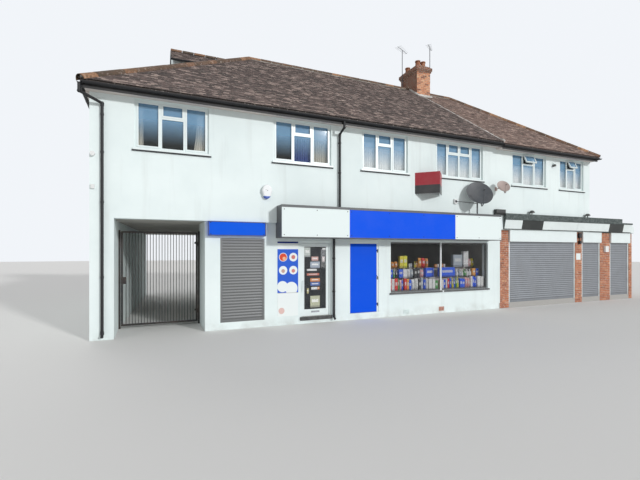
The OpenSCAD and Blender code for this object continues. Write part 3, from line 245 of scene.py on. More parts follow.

# %% [markdown]
# ### Roof tiles, bricks and clay
# Burnt clay is never one colour: each tile and brick came out of the kiln a little different. Every
# copy below carries a number called tone, and a colour ramp turns it into one of the reds, browns
# and blacks. Noise then adds what the weather did, which runs over many tiles at once: dark algae,
# pale lichen spots and dust. Faces that look down, such as the tails of tiles, get painted shade.

# %% Clay finishes
def fired_clay(name, tones, blotch, lichen, lichen_share):
    """Clay whose colour goes by each copy's tone, with stains and lichen over the copies, and painted
    shade on faces that look down.
    """
    material, tree, shader = new_finish(name, roughness=0.88, specular=0.25)
    tone = add(tree, "Attribute", attribute_name="tone").outputs["Fac"]
    fine = noise(tree, 0.02, detail=6)
    fine_share = spread(tree, fine, 0.3, 0.75, 0.0, 0.45)
    colour = blend(tree, fine_share, ramp(tree, tone, tones), blotch)
    patches = noise(tree, 0.07, detail=5, rough=0.75)
    for start, end, over in ((0.5, 0.56, blotch), (0.43, 0.38, lichen)):
        colour = blend(tree, spread(tree, patches, start, end, 0.0, 0.6), colour, over)
    colour = stain(tree, colour, blotch, 1.1, 0.42, 0.72, 0.3, detail=6)
    colour = stain(tree, colour, lichen, 0.045, 0.66, 0.72, lichen_share, detail=5, rough=0.7)
    # Painted shade: faces that look down are drawn darker, the more so the further down they look.
    painted_shade_below = spread(tree, axis(tree, "Z", "Normal"), -0.3, 0.0, 0.85, 0.0)
    colour = blend(tree, painted_shade_below, colour, [part * 0.4 for part in blotch])
    return finish(material, tree, shader, colour, fine, 0.0015, 0.6)


brown_tiles = fired_clay("brown_roof_tiles", [
    (0, 0.025, 0.018, 0.017), (0.4, 0.1, 0.07, 0.064), (0.7, 0.22, 0.155, 0.14),
    (1, 0.6, 0.46, 0.4)], (0.1, 0.085, 0.078), (0.5, 0.47, 0.42), 0.6)
red_tiles = fired_clay("red_roof_tiles", [
    (0, 0.04, 0.025, 0.022), (0.35, 0.17, 0.1, 0.08), (0.7, 0.34, 0.22, 0.18),
    (1, 0.68, 0.5, 0.42)], (0.17, 0.135, 0.12), (0.55, 0.5, 0.43), 0.6)
ridge_clay = fired_clay("ridge_clay", [
    (0, 0.09, 0.055, 0.045), (0.55, 0.2, 0.11, 0.08), (0.8, 0.42, 0.2, 0.11),
    (1, 0.62, 0.33, 0.18)], (0.09, 0.085, 0.06), (0.6, 0.55, 0.48), 0.7)
wall_bricks = fired_clay("wall_bricks", [
    (0, 0.26, 0.085, 0.045), (0.4, 0.52, 0.18, 0.09), (0.75, 0.66, 0.25, 0.12),
    (1, 0.75, 0.4, 0.22)], (0.3, 0.12, 0.07), (0.7, 0.62, 0.52), 0.35)
chimney_bricks = fired_clay("chimney_bricks", [
    (0, 0.05, 0.035, 0.033), (0.3, 0.17, 0.08, 0.055), (0.55, 0.8, 0.34, 0.17),
    (1, 0.92, 0.58, 0.34)], (0.42, 0.17, 0.1), (0.7, 0.6, 0.42), 0.35)
pot_clay = fired_clay("chimney_pot_clay", [(0, 0.42, 0.16, 0.08), (1, 0.5, 0.2, 0.1)],
                      (0.2, 0.1, 0.07), (0.5, 0.42, 0.3), 0.5)
print("clay finishes:", brown_tiles.name, red_tiles.name, ridge_clay.name, wall_bricks.name)


# %% Mortar and plaster
def mineral(name, base, dark, size=0.15, depth=0.002):
    """A rough grey stuff such as mortar or felt: two shades, and a grainy surface."""
    material, tree, shader = new_finish(name, roughness=0.92, specular=0.2)
    colour = stain(tree, base, dark, size, 0.35, 0.7, detail=6)
    colour = stain(tree, colour, dark, 0.008, 0.5, 0.75, 0.4, detail=2)
    return finish(material, tree, shader, colour, noise(tree, 0.01, detail=5), depth, 0.7)


mortar = mineral("lime_mortar", (0.66, 0.61, 0.54), (0.46, 0.41, 0.35))
roof_mortar = mineral("roof_mortar", (0.62, 0.6, 0.55), (0.3, 0.28, 0.24), 0.3)
white_mortar = mineral("white_cement_mortar", (0.74, 0.73, 0.7), (0.4, 0.38, 0.35), 0.2, 0.004)
plaster = mineral("inside_plaster", (0.52, 0.5, 0.46), (0.42, 0.4, 0.37), 0.8, 0.001)
capping = mineral("fascia_capping", (0.16, 0.185, 0.18), (0.035, 0.045, 0.045), 0.05, 0.004)
dark_step = mineral("door_step_stone", (0.12, 0.12, 0.12), (0.06, 0.06, 0.06))
roof_felt = mineral("roofing_felt", (0.11, 0.115, 0.115), (0.05, 0.05, 0.05), 0.5)
terracotta = mineral("terracotta", (0.66, 0.4, 0.33), (0.45, 0.25, 0.2), 0.05, 0.001)
# Near black, used for the strips of painted shade under the sills.
slate = mineral("sill_shade_dark_paint", (0.075, 0.075, 0.08), (0.03, 0.03, 0.035), 0.2, 0.001)
print("mineral finishes:", mortar.name, roof_mortar.name, plaster.name, slate.name)

# %% [markdown]
# ### Plastic, paint and metal
# Window frames and gutters are plastic, the doors and the gate are painted, and the shutters are
# bare galvanised steel. They share one idea: a base colour, a film of dust that is thicker in broad
# patches, and a very shallow unevenness that breaks up the reflections. Where a node holds parts of
# two colours, the place along X, Y or Z says which one it is.

# %% Smooth finishes
def smooth_finish(name, base, dust, dusty, roughness, metallic=0.0, other=(), ripple=0.0006,
                  specular=0.5):
    """Plastic, paint or metal under dust; other has more colours, and where each one is."""
    material, tree, shader = new_finish(name, roughness, metallic, specular)
    colour = base
    for second, where in other:
        colour = blend(tree, where(tree), colour, second)
    colour = stain(tree, colour, dust, 0.5, 0.4, 0.75, dusty, detail=8, rough=0.65)
    colour = stain(tree, colour, dust, 0.02, 0.55, 0.8, dusty * 0.8)
    return finish(material, tree, shader, colour, noise(tree, 0.25), ripple, 0.5)


def between(*ranges):
    """A function that gives 1 where the place lies in every range of axis, low and high, else 0."""
    def share(tree):
        inside = 1.0
        for name, low, high in ranges:
            for test, limit in (("GREATER_THAN", low), ("LESS_THAN", high)):
                inside = maths(tree, "MULTIPLY", inside, maths(tree, test, axis(tree, name), limit))
        return inside
    return share


def disc(x, z, radius):
    """A function that gives 1 inside a circle drawn on the front of the building."""
    def share(tree):
        squares = 0.0
        for name, middle in (("X", x), ("Z", z)):
            away = maths(tree, "SUBTRACT", axis(tree, name), middle)
            squares = maths(tree, "ADD", squares, maths(tree, "MULTIPLY", away, away))
        return maths(tree, "LESS_THAN", squares, radius * radius)
    return share


GREY_DUST = (0.3, 0.28, 0.26)
gutter_edges = [("Y", -9, -5.386), ("Y", 5.386, 9), ("X", -9.4, -9.277), ("X", 9.197, 9.3)]
white_plastic = smooth_finish("white_window_plastic", (0.79, 0.865, 0.86), (0.52, 0.54, 0.52),
                              0.14, 0.32)
black_plastic = smooth_finish("black_gutter_plastic", (0.006, 0.006, 0.008), (0.08, 0.08, 0.075),
                              0.1, 0.6)
eaves_paint = smooth_finish("eaves_board_paint", (0.66, 0.6, 0.57), (0.2, 0.18, 0.17), 0.12, 0.6,
                            other=[((0.014, 0.014, 0.015), between(edge)) for edge in gutter_edges])
gate_paint = smooth_finish("gate_paint", (0.015, 0.015, 0.017), (0.22, 0.13, 0.08), 0.25, 0.4)
shop_blue = smooth_finish("blue_door_paint", (0.0, 0.085, 0.74), (0.1, 0.2, 0.6), 0.05, 0.5,
                          specular=0.1)
galvanised = smooth_finish("galvanised_steel", (0.34, 0.36, 0.385), (0.22, 0.22, 0.22), 0.4, 0.48,
                           0.5)
grey_trim = smooth_finish("dark_grey_trim", (0.07, 0.075, 0.08), (0.25, 0.24, 0.22), 0.25, 0.45)
aerial_metal = smooth_finish("aerial_alloy", (0.09, 0.09, 0.1), (0.2, 0.19, 0.18), 0.2, 0.5, 0.4)
stand_board = smooth_finish("display_stand_board", (0.62, 0.6, 0.57), GREY_DUST, 0.2, 0.5)
white_board = smooth_finish("band_board_white", (0.8, 0.87, 0.86), (0.45, 0.47, 0.45), 0.22, 0.35)
black_board = smooth_finish("band_board_black", (0.012, 0.016, 0.015), (0.12, 0.12, 0.11), 0.2, 0.4)
print("smooth finishes:", len([m for m in bpy.data.materials if m.node_tree]), "materials so far")

# %% [markdown]
# ### Glass
# By day a window looks dark, because the room behind it is dim, and it carries a bluish gleam of
# the sky, here a gradient by height. The panes are solid slabs in the CAD model. A dark, glossy
# surface that lets a part of the view through gives that look, and still shows curtains and goods
# behind it. The share is a plain alpha, which an exported model keeps.

# %% Glass
UPPER_PANES, STOREY_SPLIT, RIGHT_OF_NETS, TOP_ALPHA = (4.88, 5.5), 2.6, -2.8, 0.45


def pane_glass(name, tint, alpha, upstairs=()):
    """Dusty, glossy glass; alpha is how much it hides, and upstairs has three reflected colours."""
    material, tree, shader = new_finish(name, roughness=0.06, specular=0.8)
    colour = stain(tree, tint, (0.5, 0.52, 0.54), 0.35, 0.4, 0.75, 0.06, detail=6)
    shader.inputs["Alpha"].default_value = alpha
    if upstairs:
        houses, nets, gleam = upstairs
        height = axis(tree, "Z")
        low = blend(tree, maths(tree, "GREATER_THAN", axis(tree, "X"), RIGHT_OF_NETS), houses, nets)
        gleam = blend(tree, spread(tree, height, *UPPER_PANES), low, gleam)
        colour = blend(tree, maths(tree, "GREATER_THAN", height, STOREY_SPLIT), colour, gleam)
        hidden = spread(tree, height, *UPPER_PANES, alpha, TOP_ALPHA)
        tree.links.new(hidden, shader.inputs["Alpha"])
    tree.links.new(colour, shader.inputs["Base Color"])
    return material


window_pane = pane_glass("window_glass", (0.02, 0.022, 0.024), 0.14,
                         ((0.1, 0.11, 0.11), (0.6, 0.7, 0.75), (0.26, 0.5, 0.74)))
door_pane = pane_glass("shop_door_glass", (0.02, 0.025, 0.03), 0.5)
print("glass:", window_pane.name, door_pane.name)

# %% [markdown]
# ### Signs and other painted things
# The sign boxes carry no lettering here: they are bare panels in the colours of the photograph. The
# three panels over the shop are one CAD node, so the place along X says which part is blue, and the
# same goes for the dark bars and the pale middle bar of the display window. The poster beside the
# door is drawn with plain bands and discs.

# %% Finishes by place
POSTER, WHITE_PRINT = ("X", -4.6, -3.8), (0.82, 0.87, 0.86)


def poster(*rows):
    """Colours on the poster: each is a band from one height to another, or a disc at x and z."""
    return [(colour, disc(*spot) if len(spot) == 3 else between(("Z", *spot), POSTER))
            for colour, *spot in rows]


sign_face = smooth_finish(
    "sign_panel_faces", (0.8, 0.88, 0.87), (0.55, 0.56, 0.54), 0.02, 0.5, ripple=0.0003,
    specular=0.1, other=[((0.0, 0.09, 0.8), between(("X", -2.485, 1.504)))] + poster(
        ((0.03, 0.12, 0.62), 0.2, 2.5), ((0.01, 0.03, 0.22), 2.375, 2.5), (WHITE_PRINT, 2.2, 2.375),
        (WHITE_PRINT, -4.35, 1.97, 0.125), (WHITE_PRINT, -4.04, 1.97, 0.125),
        (WHITE_PRINT, -4.35, 1.59, 0.125), (WHITE_PRINT, -4.04, 1.59, 0.125),
        ((0.7, 0.08, 0.04), -4.35, 1.97, 0.11), ((0.85, 0.5, 0.3), -4.32, 1.93, 0.05),
        ((0.6, 0.2, 0.17), -4.04, 1.97, 0.06), ((0.55, 0.35, 0.3), -4.35, 1.57, 0.055),
        ((0.65, 0.24, 0.22), -4.04, 1.57, 0.055), (WHITE_PRINT, -4.37, 1.12, 0.16),
        (WHITE_PRINT, -4.1, 1.06, 0.19), (WHITE_PRINT, 0.2, 0.94),
        ((0.72, 0.5, 0.46), -4.4, 0.42, 0.09), ((0.5, 0.5, 0.48), 0.925, 0.94)))
kiosk_face = smooth_finish("kiosk_sign_face", (0.0, 0.1, 0.74), (0.1, 0.2, 0.6), 0.05, 0.5,
                           specular=0.1)
display_bars = smooth_finish(
    "display_window_frame", (0.075, 0.078, 0.082), (0.3, 0.29, 0.27), 0.25, 0.42,
    other=[((0.8, 0.84, 0.84), between(("X", 1.405, 1.465)))])
plinth_paint = masonry_paint("painted_plinth", [between(("Y", -5, 6)), between(("X", 4.1, 13))])
lintel_paint = masonry_paint("painted_lintel", [between(("X", 4.14, 13))])
guides = [(4.59, 4.661), (8.339, 8.41), (8.82, 8.891), (9.969, 10.04), (10.71, 10.781),
          (12.019, 12.09)]
shutter_steel = smooth_finish(
    "shutter_steel", (0.23, 0.245, 0.265), (0.16, 0.16, 0.16), 0.4, 0.5, 0.4,
    other=[((0.78, 0.82, 0.82), between(("X", *guide))) for guide in guides]
    + [((0.17, 0.175, 0.175), between(("X", -7, -4)))])
board_paint = smooth_finish("agent_board_faces", (0.02, 0.02, 0.022), GREY_DUST, 0.12, 0.4,
                            other=[((0.36, 0.012, 0.025), between(("Z", 4.33, 4.9)))])
dish_paint = smooth_finish("dish_faces", (0.055, 0.062, 0.07), (0.25, 0.24, 0.23), 0.25, 0.5,
                           other=[((0.42, 0.33, 0.3), between(("X", 3.4, 4.3)))])
fittings_paint = smooth_finish(
    "wall_fitting_faces", (0.78, 0.79, 0.78), (0.45, 0.44, 0.4), 0.2, 0.4,
    other=[((0.035, 0.035, 0.033), between(("Z", 5.5, 5.62))),
           ((0.02, 0.022, 0.022), between(("Z", 3.485, 3.72), ("X", 3, 9.5)))])
print("finishes by place:", sign_face.name, display_bars.name, board_paint.name, dish_paint.name)

# %% [markdown]
# ## Finishes on the CAD nodes
# A CAD node keeps its shape and place, and only gets a better material in its slots. Brickwork nodes
# get mortar, because the bricks are laid over them further down, and the round bed under the ridge
# tiles gets roof mortar for the same reason.

# %% Give each CAD node its finish
missed = set(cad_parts)
for material, names in (
        (wall_paint, "passage_left_wall portal_pier passage_inner_wall shop_front_piers"),
        (wall_paint, "display_wall rear_wall upper_front_wall upper_end_walls loft_room"),
        (plinth_paint, "ground_floor"), (lintel_paint, "shop_lintel"), (dark_step, "door_step"),
        (mortar, "right_shop_piers side_shop_walls chimney_stack"), (roof_mortar, "ridge_tiles"),
        (plaster, "party_wall first_floor ceiling"), (roof_felt, "side_shop_roof"),
        (brown_tiles, "roof_front_left roof_rear roof_hips loft_roof"),
        (red_tiles, "roof_front_right"), (pot_clay, "chimney_pots"), (eaves_paint, "eaves_boards"),
        (black_plastic, "gutters downpipes"), (window_pane, "window_glass"),
        (white_plastic, "window_frames window_sills shop_door_frame shop_door side_door_frame"),
        (white_plastic, "shutter_hoods"), (display_bars, "display_frame"),
        (door_pane, "shop_door_glass"), (shop_blue, "side_door"), (gate_paint, "gate_posts gate"),
        (kiosk_face, "kiosk_sign"), (grey_trim, "fascia_box"), (sign_face, "sign_panels"),
        (capping, "right_fascia"), (shutter_steel, "roller_shutters"),
        (fittings_paint, "wall_fittings"), (board_paint, "agent_board"),
        (dish_paint, "satellite_dishes"), (aerial_metal, "aerials")):
    for name in names.split():
        missed.remove(name)
        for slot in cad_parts[name].material_slots:
            slot.material = material
print("nodes given a finish:", len(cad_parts) - len(missed), "missed:", sorted(missed))

# %% [markdown]
# ## Copies of one small piece
# A roof like this has some sixteen thousand tiles, and the brick piers and walls about three
# thousand bricks. Nobody models them one by one: one tile or brick is modelled with a few
# faces, and then set down at every place by its own small matrix. Joined into one mesh for each
# slope or wall they stay light. Each copy also gets a number, its tone, which the clay materials
# turn into its own colour. The numbers come from a seeded generator, so every run is the same.

# %% Helpers for modelling and for laying copies
chance = np.random.default_rng(1937)


def start_mesh(name, kind, **settings):
    """Adds a primitive alone in the selection, names it, and leaves it in edit mode."""
    bpy.ops.object.select_all(action="DESELECT")
    getattr(bpy.ops.mesh, "primitive_" + kind + "_add")(**settings)
    made = bpy.context.object
    made.name = made.data.name = name
    bpy.ops.object.transform_apply(location=True, rotation=True, scale=True)
    bpy.ops.object.mode_set(mode="EDIT")


def start_block(name, size, at=(0, 0, 0)):
    """A block of a size with its middle at a place, left in edit mode."""
    start_mesh(name, "cube", size=1, location=at)
    bpy.ops.transform.resize(value=size, center_override=at)


def pick(kind, test):
    """Selects the verts, edges or faces whose middle passes a test, in edit mode."""
    mesh = bmesh.from_edit_mesh(bpy.context.object.data)
    bpy.ops.mesh.select_mode(type=kind[:-1].upper())
    bpy.ops.mesh.select_all(action="DESELECT")
    for part in getattr(mesh, kind):
        corners = [part] if kind == "verts" else part.verts
        if test(sum((corner.co for corner in corners), Vector()) / len(corners), part):
            part.select_set(True)
    mesh.select_flush_mode()
    bmesh.update_edit_mesh(bpy.context.object.data)


def leave_edit():
    """Goes back to object mode and returns the object."""
    bpy.ops.object.mode_set(mode="OBJECT")
    return bpy.context.object


def bevel(offset, segments=1):
    """Eases the picked edges, in edit mode."""
    bpy.ops.mesh.bevel(offset=offset, segments=segments, affect="EDGES")


def inset(border, push, **settings):
    """Leaves a border round the picked faces and pushes them in along Y, in edit mode."""
    bpy.ops.mesh.inset(thickness=border, **settings)
    bpy.ops.transform.translate(value=(0, push, 0))


def cut(point, outward, fill=False):
    """Cuts the whole mesh by a plane and throws away what lies outside it, in edit mode."""
    bpy.ops.mesh.select_all(action="SELECT")
    bpy.ops.mesh.bisect(plane_co=point, plane_no=outward, clear_outer=True, use_fill=fill)


def score(point, square_to):
    """Draws a line of edges round the whole mesh where a plane meets it, in edit mode."""
    bpy.ops.mesh.select_all(action="SELECT")
    bpy.ops.mesh.bisect(plane_co=point, plane_no=square_to)


def front_faces(at, face):
    """A test for pick: faces that look at the street."""
    return face.normal.y < -0.9


def lay(name, pattern, places, tones=0.0):
    """Copies of a pattern at each 4x4 place, joined into one mesh with a tone on each copy."""
    corners = np.array([v.co for v in pattern.data.vertices])
    faces = [tuple(p.vertices) for p in pattern.data.polygons]
    turned = np.array([np.array(m) for m in places])
    points = np.einsum("nij,kj->nki", turned[:, :3, :3], corners) + turned[:, None, :3, 3]
    count = len(corners)
    every = [tuple(v + i * count for v in face) for i in range(len(places)) for face in faces]
    mesh = bpy.data.meshes.new(name)
    mesh.from_pydata(points.reshape(-1, 3).tolist(), [], every)
    tones = np.broadcast_to(np.asarray(tones, np.float32), len(places))
    tone = mesh.attributes.new("tone", "FLOAT", "POINT")
    tone.data.foreach_set("value", np.repeat(tones, count))
    made = bpy.data.objects.new(name, mesh)
    bpy.context.scene.collection.objects.link(made)
    return made


def settle(piece, material, slot, body="building"):
    """Gives a finished piece its material, and lets it ride on its body; slot is not used."""
    piece.data.materials.append(material)
    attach(piece, body)


def axes(along, up, at):
    """A matrix with X along one direction, Y along another and Z square to both, at a point."""
    along, up = Vector(along).normalized(), Vector(up)
    up = (up - up.dot(along) * along).normalized()
    made = Matrix((along, up, along.cross(up))).transposed().to_4x4()
    made.translation = Vector(at)
    return made


print("modelling helpers ready")

# %% [markdown]
# ## Roof tiles
# The roof is laid with small plain clay tiles, each about 165 mm wide, of which 100 mm shows. Every
# tile rests on the head of the one below, so its lower edge stands up a little, and that edge is
# what draws the fine rows seen from the street. The pattern tile is a cube shaped in edit mode:
# thinned, tilted, and with its lower edge eased by a bevel.

# %% Pattern tile
TILE_W, TILE_GAUGE, TILE_L, TILE_THICK = 0.165, 0.1, 0.122, 0.012
TAIL_LIFT, HEAD_LIFT = 0.017, 0.005
start_block("pattern_tile", (TILE_W - 0.003, TILE_L, TILE_THICK), (0, TILE_L / 2, 0))
pick("verts", lambda at, v: at.y < 0.01)
bpy.ops.transform.translate(value=(0, 0, TAIL_LIFT))
pick("verts", lambda at, v: at.y > 0.01)
bpy.ops.transform.translate(value=(0, 0, HEAD_LIFT))
pick("edges", lambda at, e: at.y < 0.001 and at.z > 0.02)
bevel(0.004)
tile = leave_edit()
print("pattern tile:", len(tile.data.vertices), "corners,", len(tile.data.polygons), "faces")

# %% [markdown]
# ### Laying the slopes
# A slope is given by its eaves line and its top line. Rows run up from the eaves, each half a tile
# out of step with the one below. Tiles that would lie under the chimney or the loft room are left
# out. At the hips and at the party line a roofer cuts the tiles along the line, and so does the
# bisect operator here: the plane stands upright through the line, and what lies past it is cleared.

# %% Roof planes
EAVES_Z, RIDGE_Z, STEP = 6.052, 9.939, 0.05
LEFT, RIGHT, FRONT, REAR = -9.34, 9.26, -5.45, 5.45
LEFT_APEX, RIGHT_APEX, PARTY = -4.19, 6.15, 3.85
RISE, HIP_RUN = 3.887, 5.15
PITCH = RISE / REAR
STACK = (3.67, 4.43, -0.645, 0.645)
LOFT = (-7.1, -4.4, 0.15, 2.85)
TAIL_OVER, SPARE, MEAN_TONE = 0.02, 0.1, 0.58
LEFT_HOUSE = (brown_tiles, "brown_tile", STEP, 0.27)
RIGHT_HOUSE = (red_tiles, "red_tile", 0.0, 0.24)


def buried(at):
    """True where a tile of the loft roof would lie under the main roof."""
    hip = EAVES_Z + STEP + (at.x - LEFT) * RISE / HIP_RUN
    return at.z < min(hip, RIDGE_Z + STEP - abs(at.y) * PITCH) - 0.05


def tile_slope(name, house, base, top, holes=(), levels=None, skip=None):
    """Tiles from an eaves line to a top line, each given by the X and Y of its two ends."""
    material, slot, step, spread_of_tone = house
    low, high = levels or (EAVES_Z + step, RIDGE_Z + step)
    base = [Vector((*spot, low)) for spot in base]
    top = [Vector((*spot, high)) for spot in top]
    width = (base[1] - base[0]).length
    along = (base[1] - base[0]) / width
    rise = top[0] - base[0]
    up = rise - rise.dot(along) * along
    length = up.length
    up = up / length
    left_run = rise.dot(along) / length
    right_run = (base[1] - top[1]).dot(along) / length
    places, tones = [], []
    for row in range(int((length + 0.01) / TILE_GAUGE)):
        u = row * TILE_GAUGE - TAIL_OVER
        first = int((left_run * u) / TILE_W) - 1
        last = int((width - right_run * u) / TILE_W) + 1
        row_tone = chance.normal(0, 0.04)
        for column in range(first, last + 1):
            v = (column + 0.5 + 0.5 * (row % 2)) * TILE_W
            if not left_run * u - SPARE < v < width - right_run * u + SPARE:
                continue
            at = base[0] + along * (v + chance.normal(0, 0.0012)) + up * u
            if any(h[0] < at.x < h[1] and h[2] < at.y < h[3] for h in holes) or skip and skip(at):
                continue
            twist = chance.normal(0, 0.008)
            lift = along.cross(up) * chance.uniform(0, 0.003)
            places.append(axes(along + up * twist, up, at + lift))
            tones.append(MEAN_TONE + row_tone + chance.normal(0, spread_of_tone))
    made = lay(name, tile, places, np.clip(tones, 0, 1))
    bpy.ops.object.select_all(action="DESELECT")
    bpy.context.view_layer.objects.active = made
    made.select_set(True)
    bpy.ops.object.mode_set(mode="EDIT")
    for foot, head, outward in ((base[0], top[0], -along), (base[1], top[1], along)):
        line = head - foot
        level = Vector((line.y, -line.x, 0)).normalized()
        cut(foot, level if level.dot(outward) > 0 else -level, True)
    leave_edit()
    settle(made, material, slot)
    print(name, "tiles:", len(places), "faces:", len(made.data.polygons))


# %% Lay the main slopes
left_end, right_end, party_end = (LEFT_APEX, 0), (RIGHT_APEX, 0), (PARTY, 0)
for name, house, base, top, holes in (
        ("tiles_front_left", LEFT_HOUSE, ((LEFT, FRONT), (PARTY, FRONT)), (left_end, party_end),
         [STACK]),
        ("tiles_front_right", RIGHT_HOUSE, ((PARTY, FRONT), (RIGHT, FRONT)),
         (party_end, right_end), [STACK]),
        ("tiles_rear_left", LEFT_HOUSE, ((PARTY, REAR), (LEFT, REAR)), (party_end, left_end),
         [STACK, LOFT]),
        ("tiles_rear_right", RIGHT_HOUSE, ((RIGHT, REAR), (PARTY, REAR)),
         (right_end, party_end), [STACK]),
        ("tiles_left_hip", LEFT_HOUSE, ((LEFT, REAR), (LEFT, FRONT)), (left_end, left_end),
         [LOFT]),
        ("tiles_right_hip", RIGHT_HOUSE, ((RIGHT, FRONT), (RIGHT, REAR)),
         (right_end, right_end), [])):
    tile_slope(name, house, base, top, holes)

# %% Lay the small roof of the loft room
LOFT_LEFT, LOFT_RIGHT, LOFT_MIDDLE, LOFT_REAR, LOFT_LEVELS = -7.14, -4.36, 1.5, 3.0, (9.449, 10.429)
tile_slope("tiles_loft_front", LEFT_HOUSE, ((LOFT_LEFT, 0), (LOFT_RIGHT, 0)),
           ((LOFT_LEFT, LOFT_MIDDLE), (LOFT_RIGHT, LOFT_MIDDLE)), levels=LOFT_LEVELS, skip=buried)
tile_slope("tiles_loft_rear", LEFT_HOUSE, ((LOFT_RIGHT, LOFT_REAR), (LOFT_LEFT, LOFT_REAR)),
           ((LOFT_RIGHT, LOFT_MIDDLE), (LOFT_LEFT, LOFT_MIDDLE)), levels=LOFT_LEVELS)
bpy.data.objects.remove(tile)

# %% [markdown]
# ### Ridge and hip tiles
# The ridge and the hips are capped with half-round clay tiles about 450 mm long, bedded in mortar,
# with a thin mortar joint between each two. The CAD node is the round mortar bed. One cap is made
# from a cylinder: its ends and its lower part are cut away, and the thin half-shell that is left
# gets its thickness from a Solidify modifier. Copies then follow each line of the roof.

# %% Pattern ridge tile
def half_hoop(name, sides, radius, length, rotation, ends, level, thickness):
    """A half pipe: a cylinder without the ends that a test finds, cut at a level and thickened."""
    start_mesh(name, "cylinder", vertices=sides, radius=radius, depth=length, rotation=rotation)
    pick("faces", ends)
    bpy.ops.mesh.delete(type="FACE")
    cut((0, 0, level), (0, 0, math.copysign(1, level)))
    made = leave_edit()
    shell = made.modifiers.new("wall", "SOLIDIFY")
    shell.thickness = thickness
    bpy.ops.object.modifier_apply(modifier=shell.name)
    return made


CAP_L, CAP_JOINT = 0.45, 0.012
cap = half_hoop("pattern_ridge_tile", 20, 0.124, CAP_L - CAP_JOINT, (QUARTER, 0, 0),
                lambda at, f: abs(at.y) > 0.2, -0.005, 0.012)
print("pattern ridge tile:", len(cap.data.polygons), "faces")


# %% Cap the ridge and the hips
def cap_line(start, end):
    """Places for ridge tiles along a line, with their round side up."""
    start, end = Vector(start), Vector(end)
    run = end - start
    side = run.cross(Vector((0, 0, 1)))
    count = max(1, round(run.length / CAP_L))
    for i in range(count):
        at = start + run * (i + 0.5) / count + Vector((0, 0, chance.uniform(-0.003, 0.003)))
        yield axes(side, run, at) @ Matrix.Rotation(chance.normal(0, 0.012), 4, "Z")


BED = 0.033
left_low, left_top = EAVES_Z + STEP - BED, RIDGE_Z + STEP - BED
right_low, right_top = EAVES_Z - BED, RIDGE_Z - BED
LOFT_FOOT = 0.477
loft_cap_z = LOFT_LEVELS[1] - 0.02
for name, lines in {
    "ridge_caps_left": [
        ((LEFT, FRONT, left_low), (LEFT_APEX, 0, left_top)),
        ((LEFT, REAR, left_low),
         (LEFT + HIP_RUN * LOFT_FOOT, REAR * (1 - LOFT_FOOT), left_low + RISE * LOFT_FOOT)),
        ((LEFT_APEX, 0, left_top), (3.665, 0, left_top))],
    "ridge_caps_right": [
        ((RIGHT, FRONT, right_low), (RIGHT_APEX, 0, right_top)),
        ((RIGHT, REAR, right_low), (RIGHT_APEX, 0, right_top)),
        ((4.435, 0, right_top), (RIGHT_APEX, 0, right_top))],
    "ridge_caps_loft": [
        ((LOFT_LEFT, LOFT_MIDDLE, loft_cap_z), (LOFT_RIGHT, LOFT_MIDDLE, loft_cap_z))],
}.items():
    places = [spot for line in lines for spot in cap_line(*line)]
    tones = np.clip(chance.normal(0.5, 0.25, len(places)), 0, 1)
    settle(lay(name, cap, places, tones), ridge_clay, "clay")
    print(name, "tiles:", len(places))
bpy.data.objects.remove(cap)

# %% [markdown]
# ## Brickwork
# The piers of the right-hand shop, the end and rear walls of its single storey and the chimney are
# of common red bricks, 215 by 65 mm on the face, in courses 75 mm high with 10 mm joints. The CAD
# walls are the mortar, and each brick is a thin slip that stands 5 mm out of them, which is how deep
# raked joints look. The pattern brick is a cube whose front edges are eased by a bevel and whose
# back, which nobody sees, is deleted.

# %% Pattern brick
BRICK_L, BRICK_H, JOINT = 0.215, 0.065, 0.01
COURSE = BRICK_H + JOINT
LEAST_BRICK, SLIP_DEPTH, SLIP_UNEVEN = 0.03, 0.0025, 0.0015
start_block("pattern_brick", (BRICK_L, BRICK_H, 0.015))
pick("edges", lambda at, e: at.z > 0.007)
bevel(0.0035)
pick("faces", lambda at, f: at.z < -0.007)
bpy.ops.mesh.delete(type="FACE")
brick = leave_edit()
print("pattern brick:", len(brick.data.polygons), "faces")


# %% Laying bricks
def brick_face(x, y, along, width, low, high, first_header=False, holes=()):
    """Places for bricks over an upright face; a hole is from, to, low and high on it."""
    start, along = Vector((x, y, 0)), Vector(along)
    outward = along.cross(Vector((0, 0, 1)))
    places = []
    for course in range(int((high - low + JOINT) / COURSE)):
        z = low + course * COURSE + BRICK_H / 2
        at, header = 0.0, (course % 2 == 1) != first_header
        while at < width - LEAST_BRICK:
            length = min((BRICK_L - JOINT) / 2 if header else BRICK_L, width - at)
            if width - at - length - JOINT < LEAST_BRICK:
                length = width - at
            header = False
            middle = at + length / 2
            at += length + JOINT
            if any(h[0] < middle < h[1] and h[2] < z < h[3] for h in holes):
                continue
            depth = SLIP_DEPTH - chance.uniform(0, SLIP_UNEVEN)
            spot = start + along * middle + Vector((0, 0, z)) - outward * depth
            turned = axes(along, (0, 0, 1), spot)
            places.append(turned @ Matrix.Diagonal((length / BRICK_L, 1, 1, 1)))
    return places


def brickwork(name, places, material=wall_bricks, soot_and_shade=None):
    """Bricks of one wall as one piece, each with its own tone; the last argument picks the dark
    bricks: sooted ones, and ones given painted shade.
    """
    tones = chance.normal(0.5, 0.2, len(places))
    if soot_and_shade:
        tones = [tone * 0.15 if soot_and_shade(spot) else tone + 0.1 for tone, spot in zip(tones, places)]
    settle(lay(name, brick, places, np.clip(tones, 0, 1)), material, "brick")
    print(name, "bricks:", len(places))


# %% [markdown]
# ### Piers and walls of the right-hand shop
# Two faces that meet at a corner take turns: where one has a whole brick at the corner, the other
# has the end of a brick, a header. The bond therefore starts with a header in every second course
# of the one face, and in the other courses of the face round the corner.

